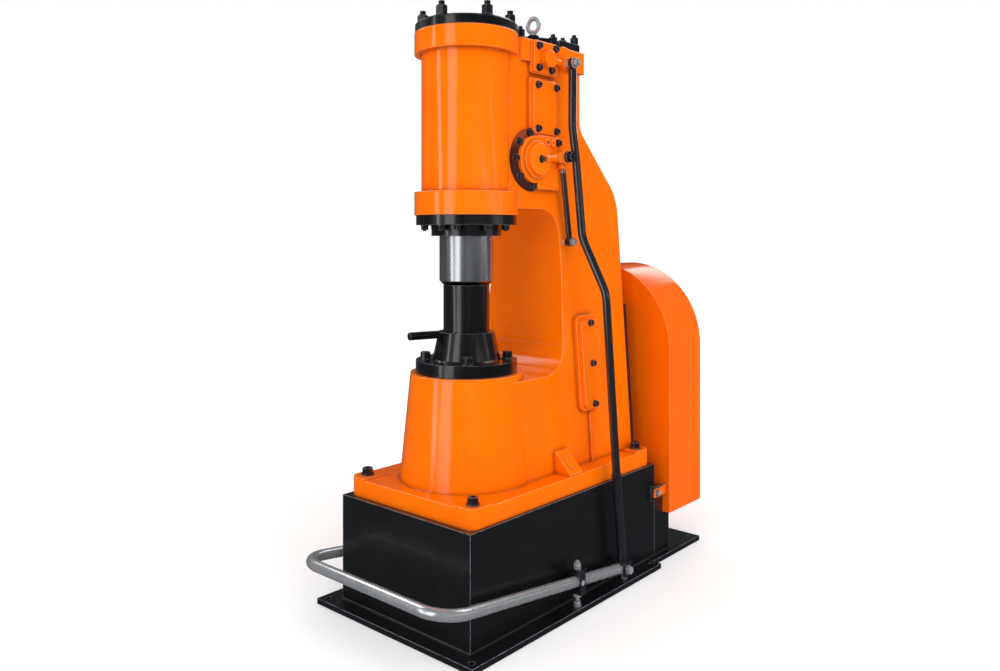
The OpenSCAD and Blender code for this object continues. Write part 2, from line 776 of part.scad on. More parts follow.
module ram() color("#b9bcc0") difference() {
    union() {
        translate([0, 0, ram_nose_z]) cylinder(r1 = post_r, r2 = ram_r, h = ram_chamfer);
        translate([0, 0, ram_nose_z + ram_chamfer - tiny])
            cylinder(r = ram_r, h = piston_z - ram_nose_z - ram_chamfer + 1);
        translate([0, 0, piston_z]) cylinder(r = piston_r, h = piston_h);
    }
    for (i = [0 : 2])
        translate([0, 0, piston_z + 30 + i * 40]) tube(piston_r + 5, piston_r - 7, ring_groove_h);
    translate([0, 0, piston_z + 20]) cylinder(r = piston_r - 40, h = piston_h);
}

module ram_rings() color("#3a3a3c")
    for (i = [0 : 2])
        translate([0, 0, piston_z + 30 + i * 40 + 0.2]) tube(piston_r, piston_r - 6.5, ring_groove_h - 0.4);

module ram_cover() color("#18181a") difference() {
    union() {
        translate([0, 0, cylinder_top_z + 2]) cylinder(r = ring_r - 2, h = cover_h - 5);
        translate([0, 0, cylinder_top_z + cover_h - 3 - tiny])
            cylinder(r1 = ring_r - 2, r2 = ring_r - 6, h = 4);
        translate([0, 0, cylinder_top_z - 20]) cylinder(r = piston_r - 0.5, h = 23);
    }
    cover_stud_places() translate([0, 0, cylinder_top_z]) cylinder(r = m20[0] + seat_gap, h = 60);
    translate([0, 0, cylinder_top_z - 21]) cylinder(r = piston_r - 20, h = 20);
}

module cover_stud_places() {
    for (i = [0 : cover_studs_n - 1])
        rotate([0, 0, cover_stud_phase + i * 360 / cover_studs_n])
            translate([cover_stud_circle, 0, 0]) children();
}

// Stud with its washer and nut, standing on a seat
module stud_and_nut(size, down, nut_h, up) {
    translate([0, 0, -down]) cylinder(r = size[0], h = down + nut_h + 3 + up);
    cylinder(r = size[1] * 0.6, h = 3);
    translate([0, 0, 3 - tiny]) hex_head(size[1], nut_h);
}

module cover_studs() color("#242428") cover_stud_places()
    translate([0, 0, cylinder_top_z + cover_h + 1]) stud_and_nut(m20, cover_h + 44, 28, 12);

// Plan of the compressor cover, cut back at the front beside the eye bolt
module comp_cover_plan() {
    a = comp_cover_side;
    rear = upper_rear + block_flange_rear - 6;
    difference() {
        polygon([
            [a, corner_nut_y], [a, rear - 12], [a - 12, rear], [12 - a, rear], [-a, rear - 12],
            [-a, corner_nut_y], [24 - a, corner_nut_y - 50], [-56, 172], [56, 172],
            [a - 24, corner_nut_y - 50]
        ]);
        for (x = [-1, 1])
            translate([x * (comp_cover_side - 17), corner_nut_y]) circle(r = 20);
    }
}

module compressor_cover() color("#18181a") difference() {
    union() {
        translate([0, 0, block_z]) linear_extrude(comp_cover_h) comp_cover_plan();
        translate([0, compressor_y, block_z - 55]) cylinder(r = compressor_r - 0.5, h = 56);
    }
    comp_nut_places() translate([0, 0, block_z - 1]) cylinder(r = m16[0] + seat_gap, h = 60);
    translate([0, compressor_y, block_z - 56]) cylinder(r = compressor_r - 14, h = 46);
}

// Studs that stand on the cover
module comp_nut_places() {
    for (x = [-1, 1]) {
        translate([x * (comp_cover_side - 21), upper_rear + 1, 0]) children();
        translate([x * 52, upper_rear + 6, 0]) children();
        translate([x * 47, 198, 0]) children();
    }
}

// Studs at the cover's corners, which stand on the casting
module corner_nut_places() {
    for (x = [-1, 1])
        translate([x * (comp_cover_side - 17), corner_nut_y, 0]) children();
}

module compressor_nuts() color("#242428") {
    comp_nut_places() translate([0, 0, block_z + comp_cover_h]) stud_and_nut(m16, comp_cover_h + 25, 24, 9);
    corner_nut_places() translate([0, 0, block_z]) stud_and_nut(m16, 28, 32, 9);
}

module eye_bolt() color("#c4c6ca") translate([eye_x, eye_y, block_z]) {
    translate([0, 0, -24]) cylinder(r = 8, h = 62);
    translate([0, 0, eye_collar_h]) cylinder(r1 = 15, r2 = 9, h = 8);
    translate([0, 0, eye_ring_h]) rotate([90, 0, 0])
        rotate_extrude() translate([eye_ring_r, 0]) circle(r = eye_wire_r);
}

module eye_collar() color("#1d1d20") translate([eye_x, eye_y, block_z]) difference() {
    union() {
        cylinder(r1 = 24, r2 = 17, h = 9);
        translate([0, 0, 9 - tiny]) cylinder(r = 17, h = eye_collar_h - 9 + tiny);
    }
    translate([0, 0, -1]) cylinder(r = 8 + seat_gap, h = 40);
}

// Axes of the screws on the flank, from a depth below the flank outwards
module side_screw_places(x) {
    for (s = cover_screws)
        facing_x(x, s[0], s[1]) children();
    for (a = ring_screw_angles)
        facing_x(x, low_valve_y + ring_screw_r * cos(a), low_valve_z + ring_screw_r * sin(a)) children();
    facing_x(x, stop_screw[0], stop_screw[1]) children();
}

module side_screw_holes() {
    side_screw_places(flank_x - 21) cylinder(r = m10[0] + seat_gap, h = 70);
}

module side_screws() color("#222226") {
    for (s = cover_screws)
        facing_x(face_x, s[0], s[1]) hex_screw(m10, 30, 8);
    for (a = ring_screw_angles)
        facing_x(flank_x + pad_t, low_valve_y + ring_screw_r * cos(a), low_valve_z + ring_screw_r * sin(a))
            hex_screw(m10, 30, 9);
    facing_x(low_cover_x, stop_screw[0], stop_screw[1]) hex_screw(m10, 34, 8);
}

module valve_chest_cover() color("#ff7a00") difference() {
    flank_plate(flank_x + pad_t, cover_t, low_valve_y - 7, top_valve_y + 60,
        low_valve_z + 82, low_valve_z + 245, 10);
    side_screw_holes();
}

module top_valve_cover() color("#ff7a00") difference() {
    flank_plate(flank_x + pad_t, cover_t, top_valve_y - 55, top_valve_y + 62,
        top_valve_z - 43, block_z - 1, 8);
    facing_x(flank_x, top_valve_y, top_valve_z) cylinder(r = top_spool_r + run_gap, h = 60);
    side_screw_holes();
}

module low_valve_ring() color("#3a1d14") difference() {
    facing_x(flank_x, low_valve_y, low_valve_z) tube(ring_seat_r, low_spool_r + 4, pad_t);
    translate([flank_x - 1, low_pad_y - face_gap, low_valve_z - 100]) cube([20, 200, 200]);
    side_screw_holes();
    flank_plate(flank_x - 1, pad_t + 2, low_valve_y - 20, top_valve_y + 90,
        low_valve_z + 75.5, low_valve_z + 260, 8);
}

module low_valve_cover() color("#ff7a00") difference() {
    union() {
        facing_x(flank_x + pad_t, low_valve_y, low_valve_z) cylinder(r = low_cover_r, h = low_cover_t);
        facing_x(flank_x + pad_t, low_valve_y, low_valve_z)
            cylinder(r = low_cover_r - 14, h = low_cover_t + 6);
        low_valve_pad(flank_x + pad_t, low_cover_t);
    }
    facing_x(flank_x, low_valve_y, low_valve_z) cylinder(r = low_spool_r + run_gap, h = 60);
    side_screw_holes();
}

module low_spool() color("#9b9ea3") difference() {
    facing_x(-flank_x + 32, low_valve_y, low_valve_z)
        cylinder(r = low_spool_r, h = flank_x - 32 + low_disc_x + 6);
    facing_x(-flank_x + 60, low_valve_y, low_valve_z) tube(low_spool_r + 5, low_spool_r - 8, 60);
    facing_x(10, low_valve_y, low_valve_z) tube(low_spool_r + 5, low_spool_r - 8, 60);
}

module low_lever() color("#ff7a00") difference() {
    union() {
        facing_x(low_disc_x, low_valve_y, low_valve_z) cylinder(r = 48, h = 14);
        rod([lever_x, low_valve_y + 20, low_valve_z + 2], [lever_x, low_eye[0] - 16, low_eye[1] - 2], 11);
        facing_x(lever_x - 11, low_eye[0] - 24, low_eye[1] - 3) cylinder(r = 15, h = 24);
        facing_x(lever_x - 5, low_eye[0], low_eye[1]) cylinder(r = 22, h = 21);
        translate([strut_x, strut_head[0] - 4, strut_head[1] + 2]) cylinder(r = 12, h = 32);
    }
    facing_x(low_disc_x - 1, low_valve_y, low_valve_z) cylinder(r = low_spool_r + seat_gap, h = 7.2);
    facing_x(lever_x - 17, low_eye[0], low_eye[1]) cylinder(r = 6 + seat_gap, h = 40);
}

module top_spool() color("#9b9ea3")
    facing_x(20, top_valve_y, top_valve_z) cylinder(r = top_spool_r, h = face_x - 20 + 20);

module top_lever() color("#ff7a00") difference() {
    union() {
        facing_x(face_x + face_gap, top_valve_y, top_valve_z) cylinder(r = 26, h = 24);
        rod([face_x + 12, top_valve_y + 15, top_valve_z], [face_x + 12, top_eye[0] - 10, top_eye[1]], 10);
        facing_x(face_x + face_gap, top_eye[0], top_eye[1]) cylinder(r = 20, h = 26);
    }
    facing_x(face_x - 1, top_valve_y, top_valve_z) cylinder(r = top_spool_r + seat_gap, h = 21 + 0.2);
    facing_x(face_x - 1, top_eye[0], top_eye[1]) cylinder(r = 6 + seat_gap, h = 60);
}

// Stud of the upper lever with the washers and nut that keep the link on it
module top_stud() color("#b6b8bc") facing_x(0, top_eye[0], top_eye[1]) {
    translate([0, 0, face_x + 4]) cylinder(r = 6, h = link_x + eye_half + 22 - face_x - 4);
    translate([0, 0, face_x + face_gap + 26])
        cylinder(r = 12, h = link_x - eye_half - face_x - 2 * face_gap - 26);
    translate([0, 0, link_x + eye_half + face_gap]) cylinder(r = 17, h = 3);
    translate([0, 0, link_x + eye_half + face_gap + 3 - tiny]) hex_head(22, 12);
}

// Bolt that ties the link's lug to the lower lever
module lever_bolt() color("#222226") facing_x(0, low_eye[0], low_eye[1]) {
    translate([0, 0, lever_x - 5]) cylinder(r = 6, h = link_x + 7 - lever_x);
    translate([0, 0, lug_x + lug_t + face_gap]) cylinder(r = 18, h = 4);
    translate([0, 0, lug_x + lug_t + face_gap + 4 - tiny]) hex_head(22, 10);
}

module link_rod() color("#1b1b1d") difference() {
    union() {
        for (i = [2 : len(link_points) - 2])
            rod(link_points[i], link_points[i + 1], link_r);
        for (i = [3 : len(link_points) - 2])
            translate(link_points[i]) sphere(r = link_r + joint_swell);
        for (i = [0, 1])
            rod(link_points[i], link_points[i + 1], link_r + 2);
        for (i = [1, 2])
            translate(link_points[i]) sphere(r = link_r + 2 + joint_swell);
        facing_x(link_x - eye_half, top_eye[0], top_eye[1]) cylinder(r = link_eye_r, h = 2 * eye_half);
        translate([link_x - eye_half, top_eye[0] - 9, top_eye[1] - link_eye_r - 10])
            cube([2 * eye_half, 18, 16]);
        facing_x(lug_x, low_eye[0], low_eye[1]) cylinder(r = 18, h = lug_t);
        translate([lug_x, low_eye[0], low_eye[1] - 12]) cube([lug_t, top_eye[0] + 17 - low_eye[0], 24]);
    }
    facing_x(link_x - eye_half - 1, top_eye[0], top_eye[1]) cylinder(r = 12.5, h = 2 * eye_half + 2);
    facing_x(lug_x - 1, low_eye[0], low_eye[1]) cylinder(r = 14, h = lug_t + 2);
}

// Fork that carries the link on the treadle's rear end
module link_fork() color("#1b1b1d") difference() {
    translate([leg_x - fork_gap - 7, link_pin_y - 19, link_pin_z - 20])
        cube([2 * fork_gap + 14, 38, fork_top + 20]);
    translate([leg_x - fork_gap, link_pin_y - 40, link_pin_z - 50])
        cube([2 * fork_gap, 88, 53 + fork_gap]);
    facing_x(leg_x - reach / 2, link_pin_y, link_pin_z) cylinder(r = pin_r + seat_gap, h = reach);
}

module link_pin() color("#b6b8bc") facing_x(0, link_pin_y, link_pin_z) {
    translate([0, 0, leg_x - fork_gap - 12]) cylinder(r = pin_r, h = 2 * fork_gap + 24);
    translate([0, 0, leg_x + fork_gap + 7]) cylinder(r = 14, h = 2.5);
    translate([0, 0, leg_x + fork_gap + 9.5 - tiny]) hex_head(21, 9);
    translate([0, 0, leg_x - fork_gap - 15]) hex_head(21, 8);
}

// Bent treadle bar, drawn flat with the fulcrum at its origin and then sloped
module treadle_bar() color("#c9cbce")
translate([0, fulcrum_y, fulcrum_z]) rotate([-treadle_slope, 0, 0]) difference() {
    union() {
        along_y(leg_x, -leg_front, 0) cylinder(r = bar_r, h = leg_front + leg_rear - 18);
        along_y(-leg_x, -leg_front, 0) cylinder(r = bar_r, h = leg_front + 45);
        for (s = [-1, 1])
            translate([s * (leg_x - treadle_bend), -leg_front, 0])
                rotate([0, 0, s > 0 ? -90 : 180])
                    rotate_extrude(angle = 90) translate([treadle_bend, 0]) circle(r = bar_r);
        facing_x(treadle_bend - leg_x, -leg_front - treadle_bend, 0)
            cylinder(r = bar_r, h = 2 * (leg_x - treadle_bend));
        facing_x(leg_x - bar_r + 1, leg_rear, 0) cylinder(r = 17, h = 2 * bar_r - 2);
        translate([leg_x - bar_r + 1, leg_rear - 24, -12]) cube([2 * bar_r - 2, 24, 24]);
    }
    for (x = [-leg_x, leg_x])
        facing_x(x - reach / 2, 0, 0) cylinder(r = pin_r + run_gap, h = reach);
    facing_x(leg_x - reach / 2, leg_rear, 0) cylinder(r = pin_r + run_gap, h = reach);
}

module fulcrum_blocks() color("#1b1b1d") for (x = [-leg_x, leg_x]) difference() {
    union() {
        translate([x - bar_r - 5, fulcrum_y - 12, fulcrum_z - fulcrum_half])
            cube([2 * bar_r + 10, 24, 2 * fulcrum_half]);
        translate([x - bar_r - 7, fulcrum_y - 17, fulcrum_z + fulcrum_half - tiny])
            cube([2 * bar_r + 14, 34, fulcrum_lid_t]);
    }
    translate([x - bar_r - 1, fulcrum_y - 20, fulcrum_z - slot_half])
        cube([2 * bar_r + 2, 40, 2 * slot_half]);
    facing_x(x - reach / 2, fulcrum_y, fulcrum_z) cylinder(r = pin_r + seat_gap, h = reach);
    translate([x, fulcrum_y, fulcrum_z - fulcrum_half - 1])
        cylinder(r = m12[0] + seat_gap, h = fulcrum_half - slot_half + 2);
    translate([x, fulcrum_y, fulcrum_z + slot_half - 1])
        cylinder(r = m12[0] + seat_gap, h = fulcrum_half - slot_half + 8);
}

// Pins of the fulcrums, their studs on the floor plate, the nuts on top and the treadle's stop
module fulcrum_pins() color("#b6b8bc") {
    for (x = [-leg_x, leg_x]) translate([x, fulcrum_y, 0]) {
        facing_x(-bar_r - 5, 0, fulcrum_z) cylinder(r = pin_r, h = 2 * bar_r + 10);
        translate([0, 0, plate_t]) stud_and_nut(m12, 0, 12, fulcrum_z - fulcrum_half + 2 - plate_t - 15);
        translate([0, 0, fulcrum_z - fulcrum_half - 9]) hex_head(m12[1] + 3, 9);
        translate([0, 0, fulcrum_z + fulcrum_half + fulcrum_lid_t])
            stud_and_nut(m12, fulcrum_half - slot_half + fulcrum_lid_t, 13, 5);
    }
    translate([leg_x - 8, link_pin_y + 24, plate_t]) stud_and_nut(m10, 0, 8, 3);
}

module strut_pin() color("#b6b8bc") facing_x(0, strut_foot[0], strut_foot[1]) {
    wall = half_w(strut_foot[1]);
    outer = strut_x + strut_eye_half + face_gap;
    translate([0, 0, wall - 20]) cylinder(r = strut_pin_r, h = outer + 4 - wall + 20);
    translate([0, 0, strut_seat_x])
        cylinder(r = 11, h = strut_x - strut_eye_half - face_gap - strut_seat_x);
    translate([0, 0, outer]) cylinder(r = 13, h = 2.5);
    translate([0, 0, outer + 2.5 - tiny]) hex_head(m12[1], 9);
}

// Places a shape drawn along +Z on the strut's axis, its foot at the strut pin
module on_strut() {
    translate([strut_x, strut_foot[0], strut_foot[1]]) rotate([strut_lean, 0, 0]) children();
}

module strut_tube() color("#1b1b1d") difference() {
    union() {
        on_strut() cylinder(r = strut_r, h = strut_l - 12);
        facing_x(strut_x - strut_eye_half, strut_foot[0], strut_foot[1])
            cylinder(r = 14, h = 2 * strut_eye_half);
    }
    on_strut() translate([0, 0, 30]) cylinder(r = 5 + run_gap, h = strut_l);
    facing_x(strut_x - 20, strut_foot[0], strut_foot[1]) cylinder(r = strut_pin_r + run_gap, h = 40);
}

module strut_rod() color("#c4c6ca") on_strut() {
    translate([0, 0, 90]) cylinder(r = 5, h = strut_l - 90);
    translate([0, 0, strut_l - 11]) cylinder(r = 9, h = 11);
}

module inspection_cover() color("#ff7a00") difference() {
    on_flank(inspection_y, inspection_z)
        flank_plate(inspection_pad, 12, -inspection_w / 2, inspection_w / 2,
            -inspection_h / 2, inspection_h / 2, 14);
    on_flank(0, inspection_z) inspection_screw_places()
        translate([-14, 0, 0]) rotate([0, 90, 0]) cylinder(r = m10[0] + seat_gap, h = reach);
}

module inspection_screws() color("#3a3d44") on_flank(0, inspection_z) inspection_screw_places()
    translate([inspection_pad + 12, 0, 0]) rotate([0, 90, 0]) hex_screw(m10, 36, 8);

module crankshaft() color("#8f9297") difference() {
    union() {
        along_y(0, web_y + web_t - 1, crank_z)
            cylinder(r = journal_r, h = pulley_y + pulley_w + 30 - web_y - web_t);
        along_y(0, web_y, crank_z) cylinder(r = 44, h = web_t);
        along_y(0, web_y, crank_pin_z) cylinder(r = 32, h = web_t);
        translate([-40, web_y, crank_z + 10]) cube([80, web_t, 56]);
        along_y(0, compressor_y - big_end_w / 2 - 1, crank_pin_z)
            cylinder(r = crank_pin_r, h = web_y + 2 - compressor_y + big_end_w / 2);
    }
    along_y(journal_r, pulley_y, crank_z) cylinder(r = 6, h = pulley_w);
}

module bearing_carrier() color("#151517") difference() {
    union() {
        column_block(1, column_rear, column_rear + carrier_t, plinth_top + 10, crank_z + 155);
        along_y(0, sleeve_y, crank_z) cylinder(r = bearing_r + 12, h = column_rear + 1 - sleeve_y);
        along_y(0, column_rear, crank_z) cylinder(r = bearing_r + 26, h = carrier_t + 14);
    }
    along_y(0, sleeve_y - 1, crank_z) cylinder(r = bearing_r + seat_gap, h = 300);
}

module crank_bearings() color("#a8aaae") {
    along_y(0, sleeve_y + 2, crank_z) tube(bearing_r, journal_r + run_gap, bearing_w);
    along_y(0, column_rear + carrier_t + 14 - bearing_w, crank_z)
        tube(bearing_r, journal_r + run_gap, bearing_w);
}

module con_rod() color("#7d8085") difference() {
    union() {
        along_y(0, compressor_y - big_end_w / 2, crank_pin_z) cylinder(r = 32, h = big_end_w);
        along_y(0, compressor_y - 12, small_end_z) cylinder(r = 22, h = 24);
        translate([-13, compressor_y - 8, crank_pin_z + 24]) cube([26, 16, con_rod_l - 40]);
    }
    along_y(0, compressor_y - 50, crank_pin_z) cylinder(r = crank_pin_r + run_gap, h = 100);
    along_y(0, compressor_y - 50, small_end_z) cylinder(r = 11 + seat_gap, h = 100);
}

module wrist_pin() color("#b6b8bc")
    along_y(0, compressor_y - 36, small_end_z) tube(11, 5, 72);

module compressor_piston() color("#8a8c90") difference() {
    translate([0, compressor_y, comp_piston_z]) cylinder(r = compressor_r, h = comp_piston_h);
    translate([0, compressor_y, comp_piston_z - 1])
        cylinder(r = compressor_r - comp_piston_wall, h = comp_piston_h - 19);
    for (i = [0 : 2])
        translate([0, compressor_y, comp_piston_z + comp_piston_h - 20 - i * 16])
            tube(compressor_r + 5, compressor_r - 6, 6);
}

module compressor_rings() color("#3a3a3c")
    for (i = [0 : 2])
        translate([0, compressor_y, comp_piston_z + comp_piston_h - 19.8 - i * 16])
            tube(compressor_r, compressor_r - 5.5, 5.6);

// Rotor with one groove for each belt, drawn along +Z
module grooved_wheel(r) {
    difference() {
        cylinder(r = r, h = pulley_w);
        for (i = [0 : belts_n - 1])
            translate([0, 0, (i + 0.75) * belt_pitch - belt_w / 2 - face_gap])
                tube(r + 5, r - belt_h - 3, belt_w + 2 * face_gap);
    }
}

module flywheel() color("#3c3e42") difference() {
    along_y(0, pulley_y, crank_z) grooved_wheel(flywheel_r);
    for (y = [pulley_y - 1, pulley_y + pulley_w - 30])
        along_y(0, y, crank_z) tube(flywheel_r - 34, journal_r + 22, 31);
    along_y(0, pulley_y - 1, crank_z) cylinder(r = journal_r + seat_gap, h = pulley_w + 2);
}

module motor_pulley() color("#4a4c50") {
    along_y(0, pulley_y, motor_z) difference() {
        grooved_wheel(motor_pulley_r);
        translate([0, 0, -1]) cylinder(r = shaft_r - tiny, h = pulley_w + 2);
    }
    along_y(0, box_rear - 68, motor_z) cylinder(r = shaft_r, h = pulley_y + pulley_w + 8 - box_rear + 68);
}

// Belt loop round the two pulleys, drawn in X and Z
module belt_loop(grow) {
    big = flywheel_r - belt_h - 3 + face_gap + grow;
    small = motor_pulley_r - belt_h - 3 + face_gap + grow;
    c = crank_z - motor_z;
    a = asin((big - small) / c);
    translate([0, crank_z]) circle(r = big);
    translate([0, motor_z]) circle(r = small);
    polygon([
        [big * cos(a), crank_z - big * sin(a)], [small * cos(a), motor_z - small * sin(a)],
        [-small * cos(a), motor_z - small * sin(a)], [-big * cos(a), crank_z - big * sin(a)]
    ]);
}

module belts() color("#141414")
    for (i = [0 : belts_n - 1])
        translate([0, pulley_y + (i + 0.75) * belt_pitch + belt_w / 2, 0]) rotate([90, 0, 0])
            linear_extrude(belt_w) difference() {
                belt_loop(belt_h);
                belt_loop(0);
            }

module motor() color("#6b7178") {
    difference() {
        union() {
            along_y(0, box_rear - 360, motor_z) cylinder(r = motor_r - 8, h = 310);
            for (y = [box_rear - 330 : 20 : box_rear - 80])
                along_y(0, y, motor_z) cylinder(r = motor_r, h = 6);
            translate([-motor_r + 6, box_rear - 300, motor_z - motor_r - 4])
                cube([2 * motor_r - 12, 200, 30]);
        }
        along_y(0, box_rear - 70, motor_z) cylinder(r = shaft_r + run_gap, h = 30);
    }
}

module motor_bed() color("#2a2c30")
    translate([-110, box_rear - 320, plate_t]) difference() {
        cube([220, 240, motor_h - motor_r - 4]);
        translate([10, -1, 10]) cube([200, 242, motor_h - motor_r - 24]);
    }

// Front view of the guard, drawn in X and Z
module guard_front(inset) {
    r = guard_r - inset;
    translate([0, crank_z]) circle(r = r);
    translate([-r, guard_z + inset]) square([2 * r, crank_z - guard_z - inset]);
}

module guard() color("#f56600") difference() {
    union() {
        translate([0, guard_y + guard_d, 0]) rotate([90, 0, 0]) linear_extrude(guard_d) guard_front(0);
        for (x = [-1, 1])
            translate([x > 0 ? box_w / 2 + 8 : -box_w / 2 - 12, guard_y - 76, tab_z]) cube([4, 78, 30]);
    }
    translate([0, guard_y + guard_d - guard_t, 0]) rotate([90, 0, 0])
        linear_extrude(guard_d - 2 * guard_t) guard_front(guard_t);
    translate([guard_t - guard_r, guard_y + guard_t, guard_z - 1])
        cube([2 * guard_r - 2 * guard_t, guard_d - 2 * guard_t, 10]);
    along_y(0, guard_y - 1, crank_z) cylinder(r = 70, h = guard_t + 2);
    along_y(0, guard_y - 1, motor_z) cylinder(r = 34, h = guard_t + 2);
    guard_screw_places() cylinder(r = m10[0] + seat_gap, h = 60, center = true);
}

module guard_screw_places() {
    for (x = [-1, 1])
        translate([x * (box_w / 2 + 8), guard_y - 62, tab_z + 15]) rotate([0, 90, 0]) children();
}

module guard_brackets() color("#151517") for (x = [-1, 1]) scale([x, 1, 1]) difference() {
    union() {
        translate([box_w / 2, guard_y - 92, tab_z - 10]) cube([8, 50, 52]);
        translate([box_w / 2, guard_y - 92, tab_z + 37]) cube([26, 50, 5]);
    }
    translate([box_w / 2 - 1, guard_y - 62, tab_z + 15]) rotate([0, 90, 0])
        cylinder(r = m10[0] + seat_gap, h = 30);
}

module guard_screws() color("#b6b8bc") for (x = [-1, 1])
    translate([x * (box_w / 2 + 12), guard_y - 62, tab_z + 15]) rotate([0, x * 90, 0]) hex_screw(m10, 11, 8);

front_plate();
rear_plate();
base_box();
rear_box();
body_casting();
ram_cylinder();
base_bolts();
anvil_holder();
anvil_bolts();
tool_post();
lock_bar();
gland();
gland_bush();
seals();
gland_bolts();
ram();
ram_rings();
ram_cover();
cover_studs();
compressor_cover();
compressor_nuts();
eye_bolt();
eye_collar();
valve_chest_cover();
top_valve_cover();
low_valve_ring();
low_valve_cover();
side_screws();
low_spool();
low_lever();
top_spool();
top_lever();
top_stud();
lever_bolt();
link_rod();
link_fork();
link_pin();
treadle_bar();
fulcrum_blocks();
fulcrum_pins();
strut_pin();
strut_tube();
strut_rod();
inspection_cover();
inspection_screws();
crankshaft();
bearing_carrier();
crank_bearings();
con_rod();
wrist_pin();
compressor_piston();
compressor_rings();
flywheel();
belts();
motor();
motor_pulley();
motor_bed();
guard();
guard_brackets();
guard_screws();
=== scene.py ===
import math
import bmesh
import bpy
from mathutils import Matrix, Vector


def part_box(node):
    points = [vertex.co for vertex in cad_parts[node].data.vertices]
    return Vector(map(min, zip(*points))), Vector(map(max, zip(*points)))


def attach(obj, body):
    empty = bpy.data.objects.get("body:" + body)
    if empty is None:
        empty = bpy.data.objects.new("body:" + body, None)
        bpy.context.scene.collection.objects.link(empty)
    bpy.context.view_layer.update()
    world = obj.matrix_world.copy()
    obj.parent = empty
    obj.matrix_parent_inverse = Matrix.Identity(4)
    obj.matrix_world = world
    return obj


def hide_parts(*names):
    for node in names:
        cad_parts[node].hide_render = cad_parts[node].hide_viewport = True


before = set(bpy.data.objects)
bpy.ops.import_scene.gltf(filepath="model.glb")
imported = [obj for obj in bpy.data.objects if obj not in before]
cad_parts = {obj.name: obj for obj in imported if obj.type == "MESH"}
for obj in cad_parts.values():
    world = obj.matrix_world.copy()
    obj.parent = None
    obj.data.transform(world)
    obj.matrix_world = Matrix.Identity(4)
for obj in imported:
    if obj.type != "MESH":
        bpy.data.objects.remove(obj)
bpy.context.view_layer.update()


# ---- Welded base ----
# Hollow box of black-painted steel plate on two floor plates. Sheared plates are fillet welded together
# and sprayed with one coat of satin enamel, and its edges carry a painted highlight.

MM = 0.001


def linear(colour):
    """Linear colour of an sRGB hex value."""
    parts = [int(colour[i:i + 2], 16) / 255 for i in (1, 3, 5)]
    return tuple(p / 12.92 if p <= 0.04045 else ((p + 0.055) / 1.055) ** 2.4 for p in parts) + (1.0,)


def node(tree, kind, settings=None):
    """One node with its settings. A socket among them is linked, and any other value is set."""
    made = tree.nodes.new(kind)
    for key, value in (settings or {}).items():
        if isinstance(value, bpy.types.NodeSocket):
            tree.links.new(value, made.inputs[key])
        elif isinstance(key, int) or not hasattr(made, key):
            made.inputs[key].default_value = value
        else:
            setattr(made, key, value)
    return made


def new_material(name, shader):
    """Empty material with its shader and output, and the Object coordinates that its patterns read."""
    made = bpy.data.materials.new(name)
    made.use_nodes = True
    tree = made.node_tree
    tree.nodes.clear()
    surface = node(tree, "ShaderNodeBsdfPrincipled", shader)
    node(tree, "ShaderNodeOutputMaterial", {"Surface": surface.outputs[0]})
    place = node(tree, "ShaderNodeTexCoord").outputs["Object"]
    return made, tree, surface, place


def grain(tree, place, size_mm, detail=2.0, stretch=(1, 1, 1), rough=0.5):
    """Noise whose features are size_mm apart, drawn out along an axis by a stretch under 1."""
    spread = node(tree, "ShaderNodeMapping", {"Scale": stretch, "Vector": place}).outputs[0]
    return node(tree, "ShaderNodeTexNoise", {
        "Scale": 1000 / size_mm, "Detail": detail, "Roughness": rough, "Vector": spread}).outputs["Fac"]


def shaded(tree, pattern, first, second, low=0, high=1, most=1):
    """Colour that turns from the first (hex or socket) to the second as a pattern goes from low to high."""
    share = node(tree, "ShaderNodeMapRange", {
        "From Min": low, "From Max": high, "To Max": most, "Value": pattern}).outputs[0]
    start = linear(first) if isinstance(first, str) else first
    blend = node(tree, "ShaderNodeMix", {"data_type": "RGBA", 0: share, 6: start, 7: linear(second)})
    return blend.outputs[2]


def coloured(tree, surface, colour):
    """Gives a shader its colour."""
    tree.links.new(colour, surface.inputs["Base Color"])


def polished(tree, surface, pattern, smooth, rough, low=0.3, high=0.7):
    """Roughness that goes from smooth to rough as a pattern goes from low to high."""
    level = node(tree, "ShaderNodeMapRange", {
        "From Min": low, "From Max": high, "To Min": smooth, "To Max": rough, "Value": pattern}).outputs[0]
    tree.links.new(level, surface.inputs["Roughness"])


def relief(tree, surface, height, depth_mm, edge_mm=0.0):
    """Bump from a height pattern, over edges that are rounded in the reflection only."""
    settings = {"Distance": depth_mm * MM, "Strength": 1.0, "Height": height}
    if edge_mm:
        settings["Normal"] = node(tree, "ShaderNodeBevel", {"samples": 6, "Radius": edge_mm * MM}).outputs[0]
    bump = node(tree, "ShaderNodeBump", settings)
    for skin in ("Normal", "Coat Normal"):
        tree.links.new(bump.outputs[0], surface.inputs[skin])


def crevice(tree, reach_mm):
    """How deep a point lies in a corner, from 0 to 1."""
    open_share = node(tree, "ShaderNodeAmbientOcclusion", {
        "samples": 4, "only_local": True, "Distance": reach_mm * MM}).outputs["AO"]
    return node(tree, "ShaderNodeMath", {"operation": "SUBTRACT", 0: 1.0, 1: open_share}).outputs[0]


